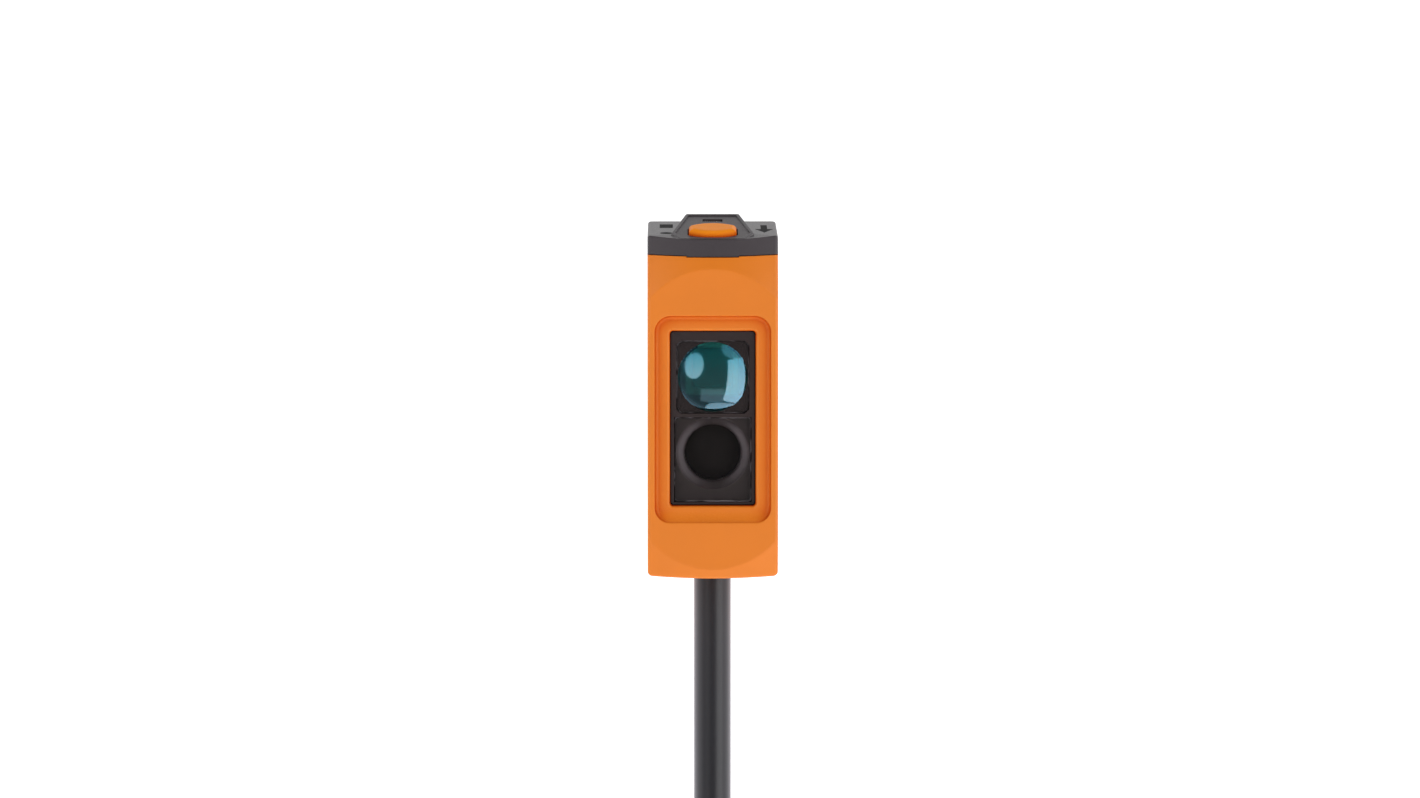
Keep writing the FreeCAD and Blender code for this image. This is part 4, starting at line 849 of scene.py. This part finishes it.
def studio_floor():
    """Wide pale floor just under the cable's tips."""
    height = TIPS_LOW.z - FLOOR_GAP
    directions = ((-1, -1), (1, -1), (1, 1), (-1, 1))
    corners = [(x * FLOOR_REACH, y * FLOOR_REACH, height) for x, y in directions]
    floor = finish_mesh("studio_floor", corners, [(0, 1, 2, 3)])
    shader = Shader("studio_floor")
    cloud = shader.noise(60.0, 2.0)
    shader.set(
        Base_Color=shader.mix(cloud, (0.90, 0.90, 0.90), (0.93, 0.93, 0.93)),
        Roughness=0.7,
        Emission_Color=(1.0, 1.0, 1.0),
        Emission_Strength=0.75,
    )
    floor.data.materials.append(shader.material)
    floor.visible_glossy = False


def softbox(name, place, target, shape, width, height, power):
    """Soft light of a given shape that looks at a target."""
    data = bpy.data.lights.new(name, "AREA")
    data.shape = shape
    data.size = width
    data.size_y = height
    data.energy = power
    lamp = bpy.data.objects.new(name, data)
    lamp.location = place
    lamp.rotation_mode = "QUATERNION"
    lamp.rotation_quaternion = (Vector(target) - Vector(place)).to_track_quat("-Z", "Y")
    bpy.context.scene.collection.objects.link(lamp)


def seen_from_lens(azimuth, elevation, distance):
    """Place at a distance from the receiver lens; azimuth 0 is straight ahead of it."""
    turn = math.radians(azimuth)
    rise = math.radians(elevation)
    flat = math.cos(rise)
    direction = Vector((math.sin(turn) * flat, -math.cos(turn) * flat, math.sin(rise)))
    return (LENS_LOW + LENS_HIGH) / 2 + direction * distance


LIGHT_DISTANCE = 0.8

# Azimuth and elevation in degrees as seen from the lens, shape, width, height and power
SOFTBOXES = {
    "left_box": (-33, 14, "ELLIPSE", 0.48, 0.62, 1.3),
    "right_box": (46, -11, "RECTANGLE", 0.60, 1.15, 4.8),
    "upper_right_box": (42, 40, "ELLIPSE", 0.48, 0.42, 0.40),
    "top_box": (-10, 74, "ELLIPSE", 0.60, 0.50, 0.4),
    "low_box": (35, -66, "ELLIPSE", 0.80, 0.50, 1.3),
    "table_card": (0, -37, "RECTANGLE", 0.55, 0.33, 0.20),
    "back_left": (-130, 15, "ELLIPSE", 0.60, 0.60, 1.2),
    "back_right": (130, 15, "ELLIPSE", 0.60, 0.60, 1.2),
}

# Brightness of the surroundings, and the share of it that is left ahead and above
SURROUNDINGS = 0.93
AHEAD_SHARE = 0.15
ABOVE_SHARE = 0.25

CAMERA_DISTANCE = 0.8
CAMERA_RIGHT = -3.7 * MM
CAMERA_UP = HOUSING_HIGH.z + 60.26 * MM
CAMERA_AIM = Vector((-0.28 * MM, FRONT, 1.93 * MM))
CAMERA_LENS = 206.6


def studio_lights():
    """Soft lights round the sensor."""
    middle = (LENS_LOW + LENS_HIGH) / 2
    for name, (azimuth, elevation, shape, width, height, power) in SOFTBOXES.items():
        place = seen_from_lens(azimuth, elevation, LIGHT_DISTANCE)
        softbox(name, place, middle, shape, width, height, power)


def world_strength(tree):
    """Brightness of the surroundings: pale all round, dark ahead of the sensor and above it.

    The camera itself sees plain white.
    """

    def fall(direction, start, end, to):
        """Factor that falls from 1 between two cosines of the angle to a direction."""
        towards = tree.nodes.new("ShaderNodeVectorMath")
        towards.operation = "DOT_PRODUCT"
        towards.inputs[1].default_value = direction
        tree.links.new(coordinates.outputs["Generated"], towards.inputs[0])
        fade = tree.nodes.new("ShaderNodeMapRange")
        fade.interpolation_type = "SMOOTHSTEP"
        fade.inputs["From Min"].default_value = start
        fade.inputs["From Max"].default_value = end
        fade.inputs["To Min"].default_value = 1.0
        fade.inputs["To Max"].default_value = to
        tree.links.new(towards.outputs["Value"], fade.inputs["Value"])
        return fade.outputs["Result"]

    def combined(operation, first, second):
        node = tree.nodes.new("ShaderNodeMath")
        node.operation = operation
        tree.links.new(first, node.inputs[0])
        if isinstance(second, bpy.types.NodeSocket):
            tree.links.new(second, node.inputs[1])
        else:
            node.inputs[1].default_value = second
        return node.outputs[0]

    coordinates = tree.nodes.new("ShaderNodeTexCoord")
    path = tree.nodes.new("ShaderNodeLightPath")
    ahead = fall((0, -1, 0), 0.25, 0.60, AHEAD_SHARE)
    above = fall((0, 0, 1), 0.55, 0.95, ABOVE_SHARE)
    light = combined("MULTIPLY", combined("MULTIPLY", ahead, above), SURROUNDINGS)
    return combined("MAXIMUM", light, path.outputs["Is Camera Ray"])


def world_tent():
    """Plain surroundings whose brightness depends on the direction."""
    world = bpy.data.worlds.new("light_tent")
    bpy.context.scene.world = world
    world.use_nodes = True
    background = world.node_tree.nodes["Background"]
    background.inputs["Color"].default_value = (1, 1, 1, 1)
    world.node_tree.links.new(world_strength(world.node_tree), background.inputs["Strength"])


def studio_camera():
    """Long lens in front of the sensor and a little above it."""
    data = bpy.data.cameras.new("camera")
    data.lens = CAMERA_LENS
    data.sensor_width = 36.0
    data.clip_start = 0.01
    data.clip_end = 20.0
    camera = bpy.data.objects.new("camera", data)
    camera.location = (CAMERA_RIGHT, FRONT - CAMERA_DISTANCE, CAMERA_UP)
    camera.rotation_mode = "QUATERNION"
    camera.rotation_quaternion = (CAMERA_AIM - camera.location).to_track_quat("-Z", "Y")
    bpy.context.scene.collection.objects.link(camera)
    bpy.context.scene.camera = camera


# ---- putting the pieces in place -----------------------------------------------------------------


def coated_lens():
    """Teal-coated lens, with a neutral lacquer that grows stronger towards its foot."""
    shader = clear_plastic("coated_lens", (0.50, 0.94, 0.92), 0.10, 0.03, film=185.0)
    middle = (LENS_LOW.z + LENS_HIGH.z) / 2 / MM
    lacquer = shader.spread(shader.along("Z"), middle - 1.0, middle + 3.0, 1.0, 0.1)
    return shader.set(Coat_Weight=lacquer, Coat_IOR=1.8)


def place_lens(edge):
    lens = receiver_lens()
    dress(lens, coated_lens(), "receiver_lens")
    plate = clear_plastic("lens_plate", (0.050, 0.038, 0.039), 0.12, 0.06)
    plate.set(Transmission_Weight=0.35)
    lens.data.materials.append(plate.material)
    lens.data.materials.append(edge.material)
    leave_plate_plain(lens)
    finish_plate_edges(lens, 2, LENS_SURROUND)


def place_window(edge):
    window = emitter_window()
    pane = clear_plastic("clear_window", (0.92, 0.92, 0.92), 0.0, 0.0)
    dress(window, pane, "emitter_window")
    window.data.materials.append(edge.material)
    finish_plate_edges(window, 1, 0.0)


def place_filter():
    dark = moulded("dark_filter", (0.010, 0.006, 0.006), 0.5, 0.4, 0.001, rounding=0, shine=0.1)
    dress(emitter_filter(), dark, "emitter_lens")


def place_cable():
    sheath = cable_sheath("cable_polyurethane", (0.011, 0.011, 0.015), 0.34, sheen=0.8)
    dress(cable_jacket(), sheath, "cable_jacket")


def place_bending_parts():
    silicone = rubber("pale_silicone", (0.50, 0.48, 0.44), 0.45)
    bend_between(button_seal(), silicone, "button_seal")
    steel = metal("dome_steel", (0.62, 0.61, 0.58), 0.2, (1, 1, 1))
    bend_between(snap_dome(), steel, "switch_dome")


def place_marks():
    ink = moulded("mark_ink", (0.018, 0.017, 0.018), 0.9, shine=0.1)
    for mark in cap_marks():
        mark.data.materials.append(ink.material)
        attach(mark, CASE)


paint_shells()
paint_soft_parts()
paint_metals()
paint_electronics()
paint_cores()
glint_edge_shader = edge_with_painted_glints("edge_with_painted_glints")
place_lens(glint_edge_shader)
place_window(glint_edge_shader)
place_filter()
place_cable()
place_bending_parts()
place_marks()
studio_floor()
studio_lights()
world_tent()
studio_camera()
bpy.context.scene.view_settings.view_transform = "Standard"
